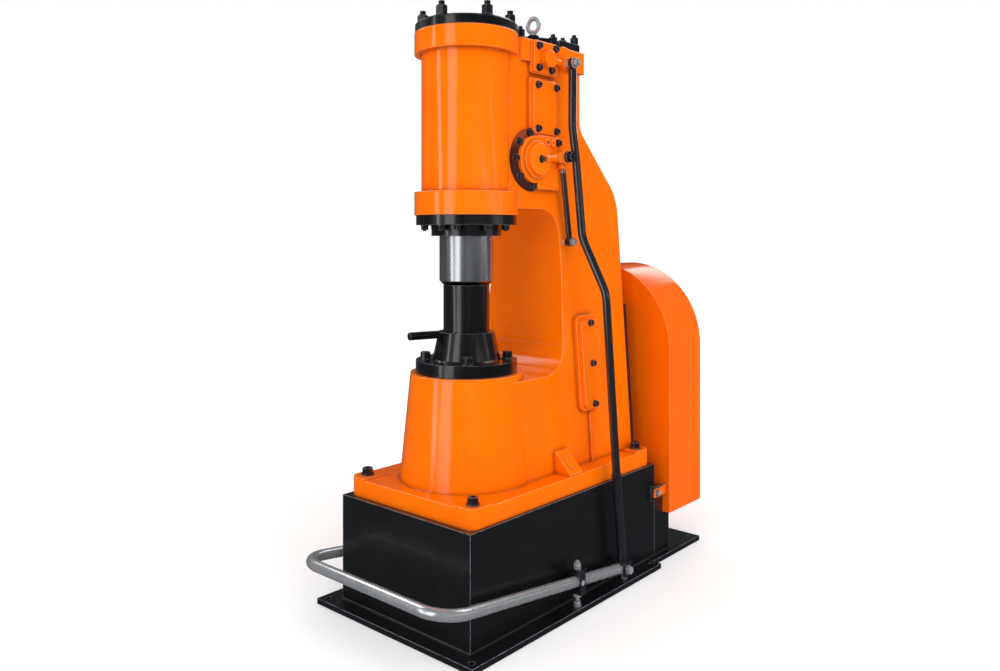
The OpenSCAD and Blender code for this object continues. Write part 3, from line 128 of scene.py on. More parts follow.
def painted_edge_highlight(tree, place, edge_mm):
    """Mask for a painted highlight along sharp outer edges, from 0 to 1, broken into dashes."""
    # The dot product of the rounded and the flat normal falls from 1 at an edge, and a corner that lies
    # inside is left out. The dashes are 11 mm apart.
    rounded = node(tree, "ShaderNodeBevel", {"samples": 6, "Radius": edge_mm * MM}).outputs[0]
    flat = node(tree, "ShaderNodeNewGeometry").outputs["Normal"]
    same = node(tree, "ShaderNodeVectorMath", {
        "operation": "DOT_PRODUCT", 0: rounded, 1: flat}).outputs["Value"]
    edge = node(tree, "ShaderNodeMapRange", {"From Min": 0.996, "From Max": 0.86, "Value": same}).outputs[0]
    dashes = node(tree, "ShaderNodeMapRange", {
        "From Min": 0.36, "From Max": 0.56, "To Min": 0.25, "Value": grain(tree, place, 11, 3)}).outputs[0]
    outer = node(tree, "ShaderNodeMapRange", {
        "From Min": 0.12, "From Max": 0.02, "Value": crevice(tree, edge_mm)}).outputs[0]
    dashed = node(tree, "ShaderNodeMath", {"operation": "MULTIPLY", 0: edge, 1: dashes}).outputs[0]
    return node(tree, "ShaderNodeMath", {"operation": "MULTIPLY", 0: dashed, 1: outer}).outputs[0]


def finish(material, *names):
    """Gives CAD nodes their finish."""
    for name in names:
        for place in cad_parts[name].material_slots:
            place.material = material


# Satin alkyd enamel, sprayed on plate: faint orange peel 3 mm apart and a slow waviness of the plate
satin_black, tree, surface, place = new_material("satin_black_enamel", {
    "Roughness": 0.3, "Coat Weight": 0.35, "Coat Roughness": 0.18})
paint = shaded(tree, grain(tree, place, 60, 3), "#0b0b0d", "#17181a")
# Painted highlight: the sharp outer edges turn pale grey, in dashes
coloured(tree, surface, shaded(tree, painted_edge_highlight(tree, place, 3), paint, "#8e95a1"))
polished(tree, surface, grain(tree, place, 90, 4), 0.27, 0.34, low=0.35)
relief(tree, surface, grain(tree, place, 3, 2), 0.02, edge_mm=2.5)
finish(satin_black, "front_plate", "rear_plate", "base_box", "rear_box", "motor_bed", "bearing_carrier",
       "guard_brackets")


# ---- Body casting ----
# One-piece grey iron sand casting with plinth, pedestal, column and both cylinders. It is filled, rubbed
# down and sprayed with a thick gloss orange enamel that still shows the grain of the sand mould.

def enamel(name, light, dark, peel_mm, peel_depth, edge_mm, roughness):
    """Gloss enamel over cast or sheet metal: slow drift, painted shade in corners, painted highlights on
    edges, orange peel.
    """
    # Real orange peel is 1 to 3 mm apart, and is drawn coarser so that it shows
    made, tree, surface, place = new_material(name, {
        "Roughness": 0.3, "Specular IOR Level": 0.0, "Coat Weight": 1.0, "Coat Roughness": roughness,
        "Coat IOR": 1.5})
    paint = shaded(tree, grain(tree, place, 140, 3), light, dark, 0.3, 0.7)
    # Painted shade darkens the corners to deep red, and a painted highlight turns the sharp outer edges pale
    corner_shaded = shaded(tree, crevice(tree, 16), paint, "#8a2f00", 0.08, 0.6, 0.75)
    coloured(tree, surface, shaded(tree, painted_edge_highlight(tree, place, 2.8), corner_shaded, "#ffc284", most=0.8))
    relief(tree, surface, grain(tree, place, peel_mm, 3, rough=0.6), peel_depth, edge_mm)
    return made


cast_orange = enamel("gloss_enamel_on_cast_iron", "#fe7402", "#f86c01", 5, 0.24, 5, 0.035)
finish(cast_orange, "body_casting", "ram_cylinder", "valve_chest_cover", "top_valve_cover", "low_valve_cover",
       "low_lever", "top_lever", "inspection_cover")

# Black oxide on alloy steel screws: nearly black, with a painted highlight on the corners
black_oxide, tree, surface, place = new_material("black_oxide_steel", {
    "Metallic": 0.5, "Coat Weight": 0.5, "Coat Roughness": 0.12})
dark = shaded(tree, grain(tree, place, 9, 3), "#101013", "#2a2c31")
coloured(tree, surface, shaded(tree, painted_edge_highlight(tree, place, 2), dark, "#a9b0bc"))
polished(tree, surface, grain(tree, place, 4, 2), 0.2, 0.36)
relief(tree, surface, grain(tree, place, 1.5, 2), 0.03, edge_mm=1)
finish(black_oxide, "lever_bolt")


def new_tree(name, shape, sizes):
    """Empty tree with its named inputs, which are a shape, the sizes and a material, and one output."""
    made = bpy.data.node_groups.new(name, "GeometryNodeTree")
    made.interface.new_socket(shape, in_out="INPUT", socket_type="NodeSocketGeometry")
    for label, value in sizes.items():
        kind = {int: "Int", float: "Float", tuple: "Vector"}[type(value)]
        socket = made.interface.new_socket(label, in_out="INPUT", socket_type="NodeSocket" + kind)
        socket.default_value = value
    made.interface.new_socket("Material", in_out="INPUT", socket_type="NodeSocketMaterial")
    made.interface.new_socket("Result", in_out="OUTPUT", socket_type="NodeSocketGeometry")
    return made, node(made, "NodeGroupInput").outputs


def ended(tree, shape, material):
    """Ends a tree with its instances realised and its material set."""
    solid = node(tree, "GeometryNodeRealizeInstances", {"Geometry": shape}).outputs[0]
    dressed = node(tree, "GeometryNodeSetMaterial", {"Geometry": solid, "Material": material}).outputs[0]
    node(tree, "NodeGroupOutput", {"Result": dressed})


def raised(tree, shape, height):
    """A shape moved up by a height."""
    up = node(tree, "ShaderNodeCombineXYZ", {"Z": height}).outputs[0]
    return node(tree, "GeometryNodeTransform", {"Geometry": shape, "Translation": up}).outputs[0]


# Fastener seen from its seat: washer, head or nut with its turned chamfer, socket, and thread above a nut
fastener, size = new_tree("fastener", "Places", {
    "Head Sides": 6, "Head Radius": 0.01, "Head Height": 0.01, "Washer Radius": 0.01, "Washer Height": 0.01,
    "Thread Radius": 0.01, "Thread End": 0.01, "Socket Radius": 0.01, "Axis": (0.0, 0.0, 1.0),
    "Turn Seed": 7})
seat, head_high = size["Washer Height"], size["Head Height"]
head_top = node(fastener, "ShaderNodeMath", {"operation": "ADD", 0: seat, 1: head_high}).outputs[0]
half_seat = node(fastener, "ShaderNodeMath", {"operation": "MULTIPLY", 0: seat, 1: 0.5}).outputs[0]
washer = node(fastener, "GeometryNodeMeshCylinder", {
    "Vertices": 28, "Radius": size["Washer Radius"], "Depth": seat}).outputs[0]
washer = raised(fastener, washer, half_seat)

# The head is a prism cut by the cone that turns its corners
half_head = node(fastener, "ShaderNodeMath", {"operation": "MULTIPLY", 0: head_high, 1: 0.5}).outputs[0]
middle = node(fastener, "ShaderNodeMath", {"operation": "ADD", 0: seat, 1: half_head}).outputs[0]
prism = node(fastener, "GeometryNodeMeshCylinder", {
    "Vertices": size["Head Sides"], "Radius": size["Head Radius"], "Depth": head_high}).outputs[0]
prism = raised(fastener, prism, middle)
top_r = node(fastener, "ShaderNodeMath", {
    "operation": "MULTIPLY", 0: size["Head Radius"], 1: 0.84}).outputs[0]
flare = node(fastener, "ShaderNodeMath", {"operation": "MULTIPLY", 0: head_high, 1: 1.4}).outputs[0]
low_r = node(fastener, "ShaderNodeMath", {"operation": "ADD", 0: top_r, 1: flare}).outputs[0]
cone = node(fastener, "GeometryNodeMeshCone", {
    "Vertices": 28, "Radius Top": top_r, "Radius Bottom": low_r, "Depth": head_high}).outputs[0]
cone = raised(fastener, cone, seat)
head = node(fastener, "GeometryNodeMeshBoolean", {"operation": "INTERSECT", "solver": "EXACT"})
for part in (prism, cone):
    fastener.links.new(part, head.inputs["Mesh 2"])

# A hexagon socket, where its radius is more than nothing
recess = node(fastener, "GeometryNodeMeshCylinder", {
    "Vertices": 6, "Radius": size["Socket Radius"], "Depth": head_high}).outputs[0]
recess = raised(fastener, recess, head_top)
hollow = node(fastener, "GeometryNodeMeshBoolean", {
    "operation": "DIFFERENCE", "solver": "EXACT", "Mesh 1": head.outputs[0], "Mesh 2": recess})
has_socket = node(fastener, "ShaderNodeMath", {
    "operation": "GREATER_THAN", 0: size["Socket Radius"], 1: 0.0005}).outputs[0]
chosen = node(fastener, "GeometryNodeSwitch", {
    "input_type": "GEOMETRY", "Switch": has_socket, "False": head.outputs[0],
    "True": hollow.outputs[0]}).outputs[0]

# The thread is a row of rings, every other one 13 % smaller, from 2 mm inside the nut
root = node(fastener, "ShaderNodeMath", {"operation": "SUBTRACT", 0: head_top, 1: 0.002}).outputs[0]
tip = node(fastener, "ShaderNodeMath", {"operation": "ADD", 0: head_top, 1: size["Thread End"]}).outputs[0]
start = node(fastener, "ShaderNodeCombineXYZ", {"Z": root}).outputs[0]
end = node(fastener, "ShaderNodeCombineXYZ", {"Z": tip}).outputs[0]
line = node(fastener, "GeometryNodeCurvePrimitiveLine", {"Start": start, "End": end}).outputs[0]
turns = node(fastener, "GeometryNodeResampleCurve", {"Count": 13, "Curve": line}).outputs[0]
index = node(fastener, "GeometryNodeInputIndex").outputs[0]
odd = node(fastener, "ShaderNodeMath", {"operation": "MODULO", 0: index, 1: 2.0}).outputs[0]
groove = node(fastener, "ShaderNodeMath", {"operation": "MULTIPLY", 0: odd, 1: 0.13}).outputs[0]
depth = node(fastener, "ShaderNodeMath", {"operation": "SUBTRACT", 0: 1.0, 1: groove}).outputs[0]
ring = node(fastener, "GeometryNodeCurvePrimitiveCircle", {
    "Resolution": 14, "Radius": size["Thread Radius"]}).outputs[0]
thread = node(fastener, "GeometryNodeCurveToMesh", {
    "Fill Caps": True, "Curve": turns, "Profile Curve": ring, "Scale": depth}).outputs[0]
has_thread = node(fastener, "ShaderNodeMath", {
    "operation": "GREATER_THAN", 0: size["Thread End"], 1: 0.0005}).outputs[0]
shown = node(fastener, "GeometryNodeSwitch", {
    "input_type": "GEOMETRY", "Switch": has_thread, "True": thread}).outputs[0]

# One on each place, upright on its seat and turned at random
whole = node(fastener, "GeometryNodeJoinGeometry")
for part in (washer, chosen, shown):
    fastener.links.new(part, whole.inputs[0])
turn = node(fastener, "FunctionNodeRandomValue", {
    "data_type": "FLOAT", 2: 0.0, 3: math.tau, "Seed": size["Turn Seed"]}).outputs[1]
spun = node(fastener, "FunctionNodeAxisAngleToRotation", {"Axis": (0, 0, 1), "Angle": turn}).outputs[0]
stand = node(fastener, "FunctionNodeAlignRotationToVector", {"axis": "Z", "Vector": size["Axis"]}).outputs[0]
both = node(fastener, "FunctionNodeRotateRotation", {
    "rotation_space": "LOCAL", "Rotation": stand, "Rotate By": spun}).outputs[0]
set_out = node(fastener, "GeometryNodeInstanceOnPoints", {
    "Points": size["Places"], "Instance": whole.outputs[0], "Rotation": both}).outputs[0]
ended(fastener, set_out, size["Material"])


def grown(name, points, tree, sizes, joined=False):
    """Piece that a tree grows on points in millimetres, joined in a row or not, turned into a plain mesh."""
    start = bpy.data.meshes.new(name)
    pairs = [(i, i + 1) for i in range(len(points) - 1)] if joined else []
    start.from_pydata([[c * MM for c in point] for point in points], pairs, [])
    made = bpy.data.objects.new(name, start)
    bpy.context.scene.collection.objects.link(made)
    grow = made.modifiers.new("grow", "NODES")
    grow.node_group = tree
    for socket in tree.interface.items_tree:
        if socket.item_type == "SOCKET" and socket.in_out == "INPUT" and socket.name in sizes:
            grow[socket.identifier] = sizes[socket.name]
    ready = made.evaluated_get(bpy.context.evaluated_depsgraph_get())
    made.data = bpy.data.meshes.new_from_object(ready)
    made.modifiers.clear()
    return made


def fasteners(name, cad_node, body, points, axis, sides, head, washer, thread=(6, 0), socket=0, seed=7):
    """Row of equal fasteners in place of a CAD node: head, washer and thread as radius and height."""
    made = grown(name, points, fastener, {
        "Head Sides": sides, "Head Radius": head[0] * MM, "Head Height": head[1] * MM,
        "Washer Radius": washer[0] * MM, "Washer Height": washer[1] * MM,
        "Thread Radius": thread[0] * MM, "Thread End": thread[1] * MM, "Socket Radius": socket * MM,
        "Axis": axis, "Turn Seed": seed, "Material": black_oxide})
    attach(made, body)
    if cad_node:
        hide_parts(cad_node)


# Four socket screws through the plinth into the base box, on thick turned washers
UP, DOWN, RIGHT = (0, 0, 1), (0, 0, -1), (1, 0, 0)
ROUND, HEXAGON = 28, 6
plinth_seat = 381.5
plinth_places = [(x, y, plinth_seat) for x in (-217, 217) for y in (-204, 600)]
fasteners("plinth_screws", "base_bolts", "frame", plinth_places, UP, ROUND, (15.5, 18), (20, 4), socket=9)


# ---- Weld of the base ----
# Fillet weld of the base box on its floor plate, laid by hand in one run from the left rear round to the
# right rear. Its fine ripples, one for each 5 mm of travel, still show under the paint.

bead, size = new_tree("weld_bead", "Path", {"Bead Radius": 0.002, "Ripple": 0.002, "Step": 0.002})
line = node(bead, "GeometryNodeMeshToCurve", {"Mesh": size["Path"]}).outputs[0]
even = node(bead, "GeometryNodeResampleCurve", {
    "mode": "LENGTH", "Curve": line, "Length": size["Step"]}).outputs[0]
index = node(bead, "GeometryNodeInputIndex").outputs[0]
phase = node(bead, "ShaderNodeMath", {"operation": "MULTIPLY", 0: index, 1: 2.1}).outputs[0]
sine = node(bead, "ShaderNodeMath", {"operation": "SINE", 0: phase}).outputs[0]
wave = node(bead, "ShaderNodeMath", {"operation": "MULTIPLY", 0: sine, 1: size["Ripple"]}).outputs[0]
rippled = node(bead, "ShaderNodeMath", {"operation": "ADD", 0: size["Bead Radius"], 1: wave}).outputs[0]
uneven = node(bead, "FunctionNodeRandomValue", {"data_type": "FLOAT", 2: 0.9, 3: 1.1, "ID": index}).outputs[1]
girth = node(bead, "ShaderNodeMath", {"operation": "MULTIPLY", 0: rippled, 1: uneven}).outputs[0]
ring = node(bead, "GeometryNodeCurvePrimitiveCircle", {"Resolution": 10, "Radius": 1.0}).outputs[0]
skin = node(bead, "GeometryNodeCurveToMesh", {
    "Fill Caps": True, "Curve": even, "Profile Curve": ring, "Scale": girth}).outputs[0]
smooth = node(bead, "GeometryNodeSetShadeSmooth", {"Geometry": skin}).outputs[0]
ended(bead, smooth, size["Material"])

wall, front_wall, rear_wall, floor_plate_top = 262, -262, 746, 16
foot_path = [(x, y, floor_plate_top) for x, y in ((-wall, rear_wall), (-wall, front_wall), (wall, front_wall),
                                                  (wall, rear_wall))]
weld = grown("base_weld", foot_path, bead, {
    "Bead Radius": 0.0038, "Ripple": 0.0005, "Step": 0.0016, "Material": satin_black}, joined=True)
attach(weld, "frame")


# ---- Anvil holder, tool post and lock bar ----
# Turned iron flange with a cone, the forged post standing in it and a bar that locks the post.
# The holder is painted black over its turning marks, the post is left from the lathe and oiled.

# Black forging and turned iron, painted thin and oiled: deep black, wet shine, painted highlights on rims
oiled_black, tree, surface, place = new_material("oiled_black_forging", {
    "Metallic": 0.2, "Coat Weight": 0.8, "Coat Roughness": 0.1})
dark = shaded(tree, grain(tree, place, 40, 4), "#060608", "#0f0f12")
coloured(tree, surface, shaded(tree, painted_edge_highlight(tree, place, 2.2), dark, "#7d838d"))
polished(tree, surface, grain(tree, place, 25, 4), 0.24, 0.42)
relief(tree, surface, grain(tree, place, 2.5, 3), 0.06, edge_mm=1.5)
finish(oiled_black, "anvil_holder", "tool_post", "lock_bar")


def round_places(radius, angles, height):
    """Points on a circle about the ram's axis."""
    return [(radius * math.cos(math.radians(a)), radius * math.sin(math.radians(a)), height) for a in angles]


holder_circle, holder_seat = 124, 729
holder_places = round_places(holder_circle, (45, 135, 225, 315), holder_seat)
fasteners("anvil_screws", "anvil_bolts", "frame", holder_places, UP, ROUND, (15, 20), (18, 3), socket=8.5)


# ---- Gland ----
# Turned flange under the ram cylinder with the bush and the lip seal that the ram slides in, held up by
# nine hexagon screws. It is painted black with the cylinder's covers.

finish(oiled_black, "gland")
gland_circle, gland_seat = 126, 1133
gland_angles = (-134.5, -82.5, -58.5, -17.5, 23.5, 63.5, 103.5, 143.5, 185.5)
fasteners("gland_screws", "gland_bolts", "frame", round_places(gland_circle, gland_angles, gland_seat), DOWN,
          HEXAGON, (11, 12), (12.4, 3), thread=(5.6, 3), seed=3)


# ---- Cylinder covers ----
# Turned steel lids on the ram cylinder and the compressor, painted black. The studs stand out of their
# nuts, and a forged lifting eye is screwed into the casting beside them.

finish(oiled_black, "ram_cover", "compressor_cover", "eye_collar")
stud_circle, first_stud, lid_seat = 132, 40.5, 1737
lid_studs = round_places(stud_circle, [first_stud + 60 * i for i in range(6)], lid_seat)
fasteners("ram_cover_nuts", "cover_studs", "frame", lid_studs, UP, HEXAGON, (17.3, 27), (18, 3),
          thread=(9.6, 12.5), seed=5)
rear_seat, corner_seat = 1727, 1700
rear_nuts = [(x * side, y, rear_seat) for x, y in ((103, 408), (52, 413), (47, 198)) for side in (-1, 1)]
fasteners("compressor_cover_nuts", "compressor_nuts", "frame", rear_nuts, UP, HEXAGON, (13.9, 24), (14.4, 3),
          thread=(7.6, 9), seed=11)
corner_nuts = [(x, 289, corner_seat) for x in (-107, 107)]
fasteners("compressor_corner_nuts", "compressor_nuts", "frame", corner_nuts, UP, HEXAGON, (13.9, 32),
          (14.4, 3), thread=(7.6, 9), seed=2)


# ---- Valve covers ----
# Cast covers over the two air valves, painted with the body. The dark ring round the lower one is the bare
# edge of its clamp, held by five screws, and a screw and washer close the hub of its lever.

# Red oxide primer, dull and patchy 7 mm apart, with painted light red on top and painted shade black below
primer, tree, surface, place = new_material("dark_oxide_primer", {"Roughness": 0.5})
height = node(tree, "ShaderNodeSeparateXYZ", {0: place}).outputs["Z"]
# Painted shade below the first height and painted light above the second, as light falls on the ring
shade_end, lit_start = 1.36, 1.39
oxide = shaded(tree, height, "#3d1b15", "#9c3a1e", shade_end, lit_start)
coloured(tree, surface, shaded(tree, grain(tree, place, 7, 4), oxide, "#1a0f0e", 0.52, 0.72, 0.6))
relief(tree, surface, grain(tree, place, 3, 3), 0.1, edge_mm=1.5)
finish(primer, "low_valve_ring")

chest_face, ring_face, pad_face = 146, 137, 150
hub_y, hub_z, ring_circle = 150, 1333, 84
side_places = [(chest_face, y, z) for y, z in ((163, 1563), (254, 1563), (163, 1429), (254, 1427),
                                               (167, 1683), (167, 1616), (250, 1685), (228, 1614))]
side_places += [(ring_face, hub_y + y, hub_z + z)
                for y, z, _ in round_places(ring_circle, (105, 143, 180, 220, 268), 0)]
side_places.append((pad_face, 258, 1391))
fasteners("valve_cover_screws", "side_screws", "frame", side_places, RIGHT, HEXAGON, (9.6, 9), (12, 2.6),
          thread=(5, 0), socket=4.6, seed=9)


def turned(shape, outline, centre, axis, steps=40):
    """Adds a closed outline of (radius, height) in millimetres, turned about an axis, to a mesh."""
    stand = Vector(UP).rotation_difference(Vector(axis)).to_matrix()
    rings = []
    for i in range(steps):
        a = math.tau * i / steps
        points = [stand @ Vector((r * math.cos(a), r * math.sin(a), h)) + Vector(centre) for r, h in outline]
        rings.append([shape.verts.new(point * MM) for point in points])
    for i in range(steps):
        for j in range(len(outline)):
            k = (j + 1) % len(outline)
            shape.faces.new((rings[i][j], rings[(i + 1) % steps][j], rings[(i + 1) % steps][k], rings[i][k]))


def placed(name, shape, material, body):
    """Closes a mesh's seams, turns its faces outwards and puts it on a body as a piece."""
    bmesh.ops.remove_doubles(shape, verts=shape.verts, dist=1e-6)
    bmesh.ops.recalc_face_normals(shape, faces=shape.faces)
    mesh = bpy.data.meshes.new(name)
    shape.to_mesh(mesh)
    shape.free()
    mesh.shade_smooth()
    mesh.set_sharp_from_angle(angle=math.radians(35))
    mesh.materials.append(material)
    made = bpy.data.objects.new(name, mesh)
    bpy.context.scene.collection.objects.link(made)
    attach(made, body)


# Two small bosses cast on the lower cover beside its screw, one drilled for an oil hole and one centred only
shape = bmesh.new()
drilled = [(5, -2), (14, -2), (13.6, 0), (12.2, 2), (11.5, 8), (10.5, 9), (5.6, 9), (5, 8.4)]
centred = [(3, -2), (14, -2), (13.8, 0), (12.6, 2), (12, 6), (10.8, 7), (3.4, 7), (3, 6.6)]
for outline, y in ((drilled, 199), (centred, 228)):
    turned(shape, outline, (pad_face, y, 1388), RIGHT)
placed("cast_bosses", shape, cast_orange, "frame")

# Screw and washer in the hub of the lower lever
fasteners("hub_screw", None, "low_valve", [(170.5, hub_y, hub_z)], RIGHT, HEXAGON, (9, 7), (12, 2.5),
          socket=4.5, seed=6)


# ---- Inspection cover ----
# Cast plate over the window to the crank, on a raised pad of the tapered flank, with three screws.

# The flank leans from half the width at its foot to half the width at its top, over its height
foot_half, top_half, flank_high, flank_top = 190, 125, 923, 1300
cover_y, cover_z, cover_proud, screw_gap = 383, 690, 26, 129
tilt = math.atan((foot_half - top_half) / flank_high)
cover_x = top_half + (flank_top - cover_z) * math.tan(tilt)
across, up = (math.cos(tilt), math.sin(tilt)), (-math.sin(tilt), math.cos(tilt))
cover_places = [(cover_x + cover_proud * across[0] + rise * up[0], cover_y,
                 cover_z + cover_proud * across[1] + rise * up[1]) for rise in (-screw_gap, 0, screw_gap)]
fasteners("inspection_cover_screws", "inspection_screws", "frame", cover_places, (across[0], 0, across[1]),
          HEXAGON, (9.8, 8.5), (11, 3), socket=4.6, seed=4)


# ---- Linkage ----
# Bent steel tube from the treadle to both valve levers, painted black, with a thicker foot in its fork. A
# slim return strut stands beside it.

# Gloss black enamel on drawn tube: smooth, so that it takes a thin bright line from the lights
link_black, tree, surface, place = new_material("gloss_black_enamel_on_tube", {
    "Specular IOR Level": 0.8, "Coat Weight": 1.0, "Coat Roughness": 0.045})
coloured(tree, surface, shaded(tree, grain(tree, place, 30, 3), "#101116", "#1d2026"))
polished(tree, surface, grain(tree, place, 14, 3, stretch=(1, 1, 0.2)), 0.2, 0.32)
relief(tree, surface, grain(tree, place, 3, 2), 0.03, edge_mm=1)
finish(link_black, "link_fork", "fulcrum_blocks", "strut_tube")

bent_tube, size = new_tree("bent_tube", "Path", {
    "Bend Radius": 0.01, "Tube Radius": 0.01, "Foot Radius": 0.01, "Foot Top": 0.01})
line = node(bent_tube, "GeometryNodeMeshToCurve", {"Mesh": size["Path"]}).outputs[0]
bent = node(bent_tube, "GeometryNodeFilletCurve", {
    "mode": "POLY", "Count": 8, "Limit Radius": True, "Curve": line,
    "Radius": size["Bend Radius"]}).outputs[0]
even = node(bent_tube, "GeometryNodeResampleCurve", {
    "mode": "LENGTH", "Length": 0.012, "Curve": bent}).outputs[0]
point = node(bent_tube, "GeometryNodeInputPosition").outputs[0]
height = node(bent_tube, "ShaderNodeSeparateXYZ", {0: point}).outputs["Z"]
neck_top = node(bent_tube, "ShaderNodeMath", {"operation": "ADD", 0: size["Foot Top"], 1: 0.02}).outputs[0]
girth = node(bent_tube, "ShaderNodeMapRange", {
    "interpolation_type": "SMOOTHSTEP", "Value": height, "From Min": size["Foot Top"], "From Max": neck_top,
    "To Min": size["Foot Radius"], "To Max": size["Tube Radius"]}).outputs[0]
ring = node(bent_tube, "GeometryNodeCurvePrimitiveCircle", {"Resolution": 28, "Radius": 1.0}).outputs[0]
skin = node(bent_tube, "GeometryNodeCurveToMesh", {
    "Fill Caps": True, "Curve": even, "Profile Curve": ring, "Scale": girth}).outputs[0]
smooth = node(bent_tube, "GeometryNodeSetShadeSmooth", {"Geometry": skin}).outputs[0]
ended(bent_tube, smooth, size["Material"])

link_path = [(298, 395, 83.2), (298, 395, 101), (295, 367, 365), (282, 330, 921), (202, 316, 1094),
             (190, 299, 1335), (190, 279, 1447), (190, 280.8, 1617)]
link = grown("link_tube", link_path, bent_tube, {
    "Bend Radius": 0.11, "Tube Radius": 0.013, "Foot Radius": 0.015, "Foot Top": 0.345,
    "Material": link_black}, joined=True)
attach(link, "link")
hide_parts("link_rod")

# Its upper eye with a neck, the eye on the lower lever's pin, and the rim of the sleeve over its foot
shape = bmesh.new()
turned(shape, [(12.5, -7), (16, -7), (17, -6), (17, 6), (16, 7), (12.5, 7)], (190, 280.8, 1640), RIGHT)
turned(shape, [(14, 0), (17.5, 0), (18, 0.5), (18, 5.5), (17.5, 6), (14, 6)], (184.5, 261.3, 1345.9), RIGHT)
turned(shape, [(11, -6), (15.6, -6), (16.2, -5.2), (16.2, 5), (15.2, 6), (11, 6)], (295.15, 368.4, 352),
       (-0.011, -0.106, 0.994))
neck = bmesh.ops.create_cube(shape, size=MM)["verts"]
bmesh.ops.scale(shape, vec=(14, 18, 16), verts=neck)
bmesh.ops.translate(shape, vec=(0.190, 0.281, 1.621), verts=neck)
placed("link_eyes", shape, link_black, "link")


# ---- Ram ----
# Hardened steel bar, cylindrically ground and bright. Grinding leaves fine rings, and sliding in its bush
# leaves upright streaks that show much more.

# Ground steel: bright, with streaks that are drawn 7 mm apart, coarser than real, so that they show
ground_steel, tree, surface, place = new_material("ground_steel", {"Metallic": 0.95})
streaks = grain(tree, place, 7, 4, stretch=(1, 1, 0.012), rough=0.62)
height = node(tree, "ShaderNodeSeparateXYZ", {0: place}).outputs["Z"]
bright = shaded(tree, streaks, "#8d8f93", "#dcdee1")
# The turned nose below the ground length is left black from hardening
nose_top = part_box("ram")[0][2] + 0.009
coloured(tree, surface, shaded(tree, height, bright, "#131315", nose_top + 0.001, nose_top))
polished(tree, surface, streaks, 0.16, 0.34)
relief(tree, surface, streaks, 0.02, edge_mm=1.5)
finish(ground_steel, "ram", "strut_rod", "low_spool", "top_spool", "wrist_pin")

# Zinc-plated fittings: pale, slightly blue and evenly dull, and darker in the corners
zinc, tree, surface, place = new_material("zinc_plated_steel", {
    "Metallic": 0.6, "Coat Weight": 0.3, "Coat Roughness": 0.1})
plated = shaded(tree, grain(tree, place, 7, 3), "#b0b3b9", "#e2e4e7")
coloured(tree, surface, shaded(tree, crevice(tree, 5), plated, "#3e4044", 0.05, 0.45, 0.9))
polished(tree, surface, grain(tree, place, 3, 2), 0.24, 0.4)
relief(tree, surface, grain(tree, place, 1.2, 2), 0.03, edge_mm=1)
finish(zinc, "eye_bolt", "top_stud", "link_pin", "fulcrum_pins", "strut_pin", "guard_screws")


# ---- Treadle ----
# Bright drawn steel bar, bent cold at its two front corners. Drawing and polishing leave fine lines along
# it, which are drawn 4 mm apart so that they show.

drawn_steel, tree, surface, place = new_material("bright_drawn_steel", {"Metallic": 0.78})
lines = grain(tree, place, 4, 3, stretch=(1, 0.12, 1), rough=0.5)
coloured(tree, surface, shaded(tree, lines, "#c3c6ca", "#eceef0"))
polished(tree, surface, grain(tree, place, 60, 3), 0.2, 0.32)
relief(tree, surface, lines, 0.006, edge_mm=2)
finish(drawn_steel, "treadle_bar")


# ---- Guard ----
# Folded sheet steel cover over the belts, with a welded rim. Its enamel is a little redder and duller than
# the casting's, and lies smoother on the rolled sheet.

sheet_orange = enamel("satin_enamel_on_sheet", "#fb6903", "#f76502", 9, 0.1, 6, 0.16)
finish(sheet_orange, "guard")


# ---- Inside ----
# Crank, rod, piston and bearings are machined or cast and oiled, the bush is turned bronze, belts and seals
# are black rubber and the motor is sprayed grey. They only show through the openings.

# Machined grey iron: mid grey and satin, uneven where the oil lies
raw_iron, tree, surface, place = new_material("machined_grey_iron", {"Metallic": 0.9})
coloured(tree, surface, shaded(tree, grain(tree, place, 12, 4), "#4d4f53", "#85878b"))
polished(tree, surface, grain(tree, place, 6, 3), 0.32, 0.5)
relief(tree, surface, grain(tree, place, 2, 3), 0.05, edge_mm=1.5)
finish(raw_iron, "crankshaft", "con_rod", "compressor_piston", "compressor_rings", "ram_rings",
       "crank_bearings", "flywheel", "motor_pulley")

# Turned bronze: brown gold and satin
bronze, tree, surface, place = new_material("turned_bronze", {"Metallic": 1.0})
coloured(tree, surface, shaded(tree, grain(tree, place, 10, 3), "#8f6a35", "#c79a5b"))
polished(tree, surface, grain(tree, place, 3, 2), 0.25, 0.4)
finish(bronze, "gland_bush")

# Moulded rubber: dull and nearly black, with a finely grained skin
rubber, tree, surface, place = new_material("black_rubber", {"Roughness": 0.7})
coloured(tree, surface, shaded(tree, grain(tree, place, 4, 3), "#111112", "#1e1e1f"))
relief(tree, surface, grain(tree, place, 1.2, 2), 0.05)
finish(rubber, "belts", "seals")

# Sprayed machine enamel: mid grey and half glossy, with a light orange peel
motor_grey, tree, surface, place = new_material("grey_machine_enamel", {
    "Roughness": 0.42, "Coat Weight": 0.2})
coloured(tree, surface, shaded(tree, grain(tree, place, 50, 3), "#5d646b", "#727a82"))
relief(tree, surface, grain(tree, place, 3, 3), 0.08, edge_mm=2)
finish(motor_grey, "motor")


# ---- Floor, light and camera ----
# Plain pale studio floor and even light from all round. Upright strips and high panels, which show only in
# what reflects them, draw the highlights, and three broad suns give the soft shading.

floor_mesh = bpy.data.meshes.new("studio_floor")
reach, floor_z = 60, -0.001
floor_mesh.from_pydata([(-reach, -reach, floor_z), (reach, -reach, floor_z), (reach, reach, floor_z),
                        (-reach, reach, floor_z)], [], [(0, 1, 2, 3)])
floor = bpy.data.objects.new("studio_floor", floor_mesh)
bpy.context.scene.collection.objects.link(floor)
floor_paint, tree, surface, place = new_material("pale_studio_floor", {
    "Roughness": 0.9, "Specular IOR Level": 0.1, "Emission Color": (1, 1, 1, 1), "Emission Strength": 0.1})
coloured(tree, surface, shaded(tree, grain(tree, place, 400, 2), "#fdfdfd", "#ffffff"))
floor_mesh.materials.append(floor_paint)
floor.visible_glossy = False

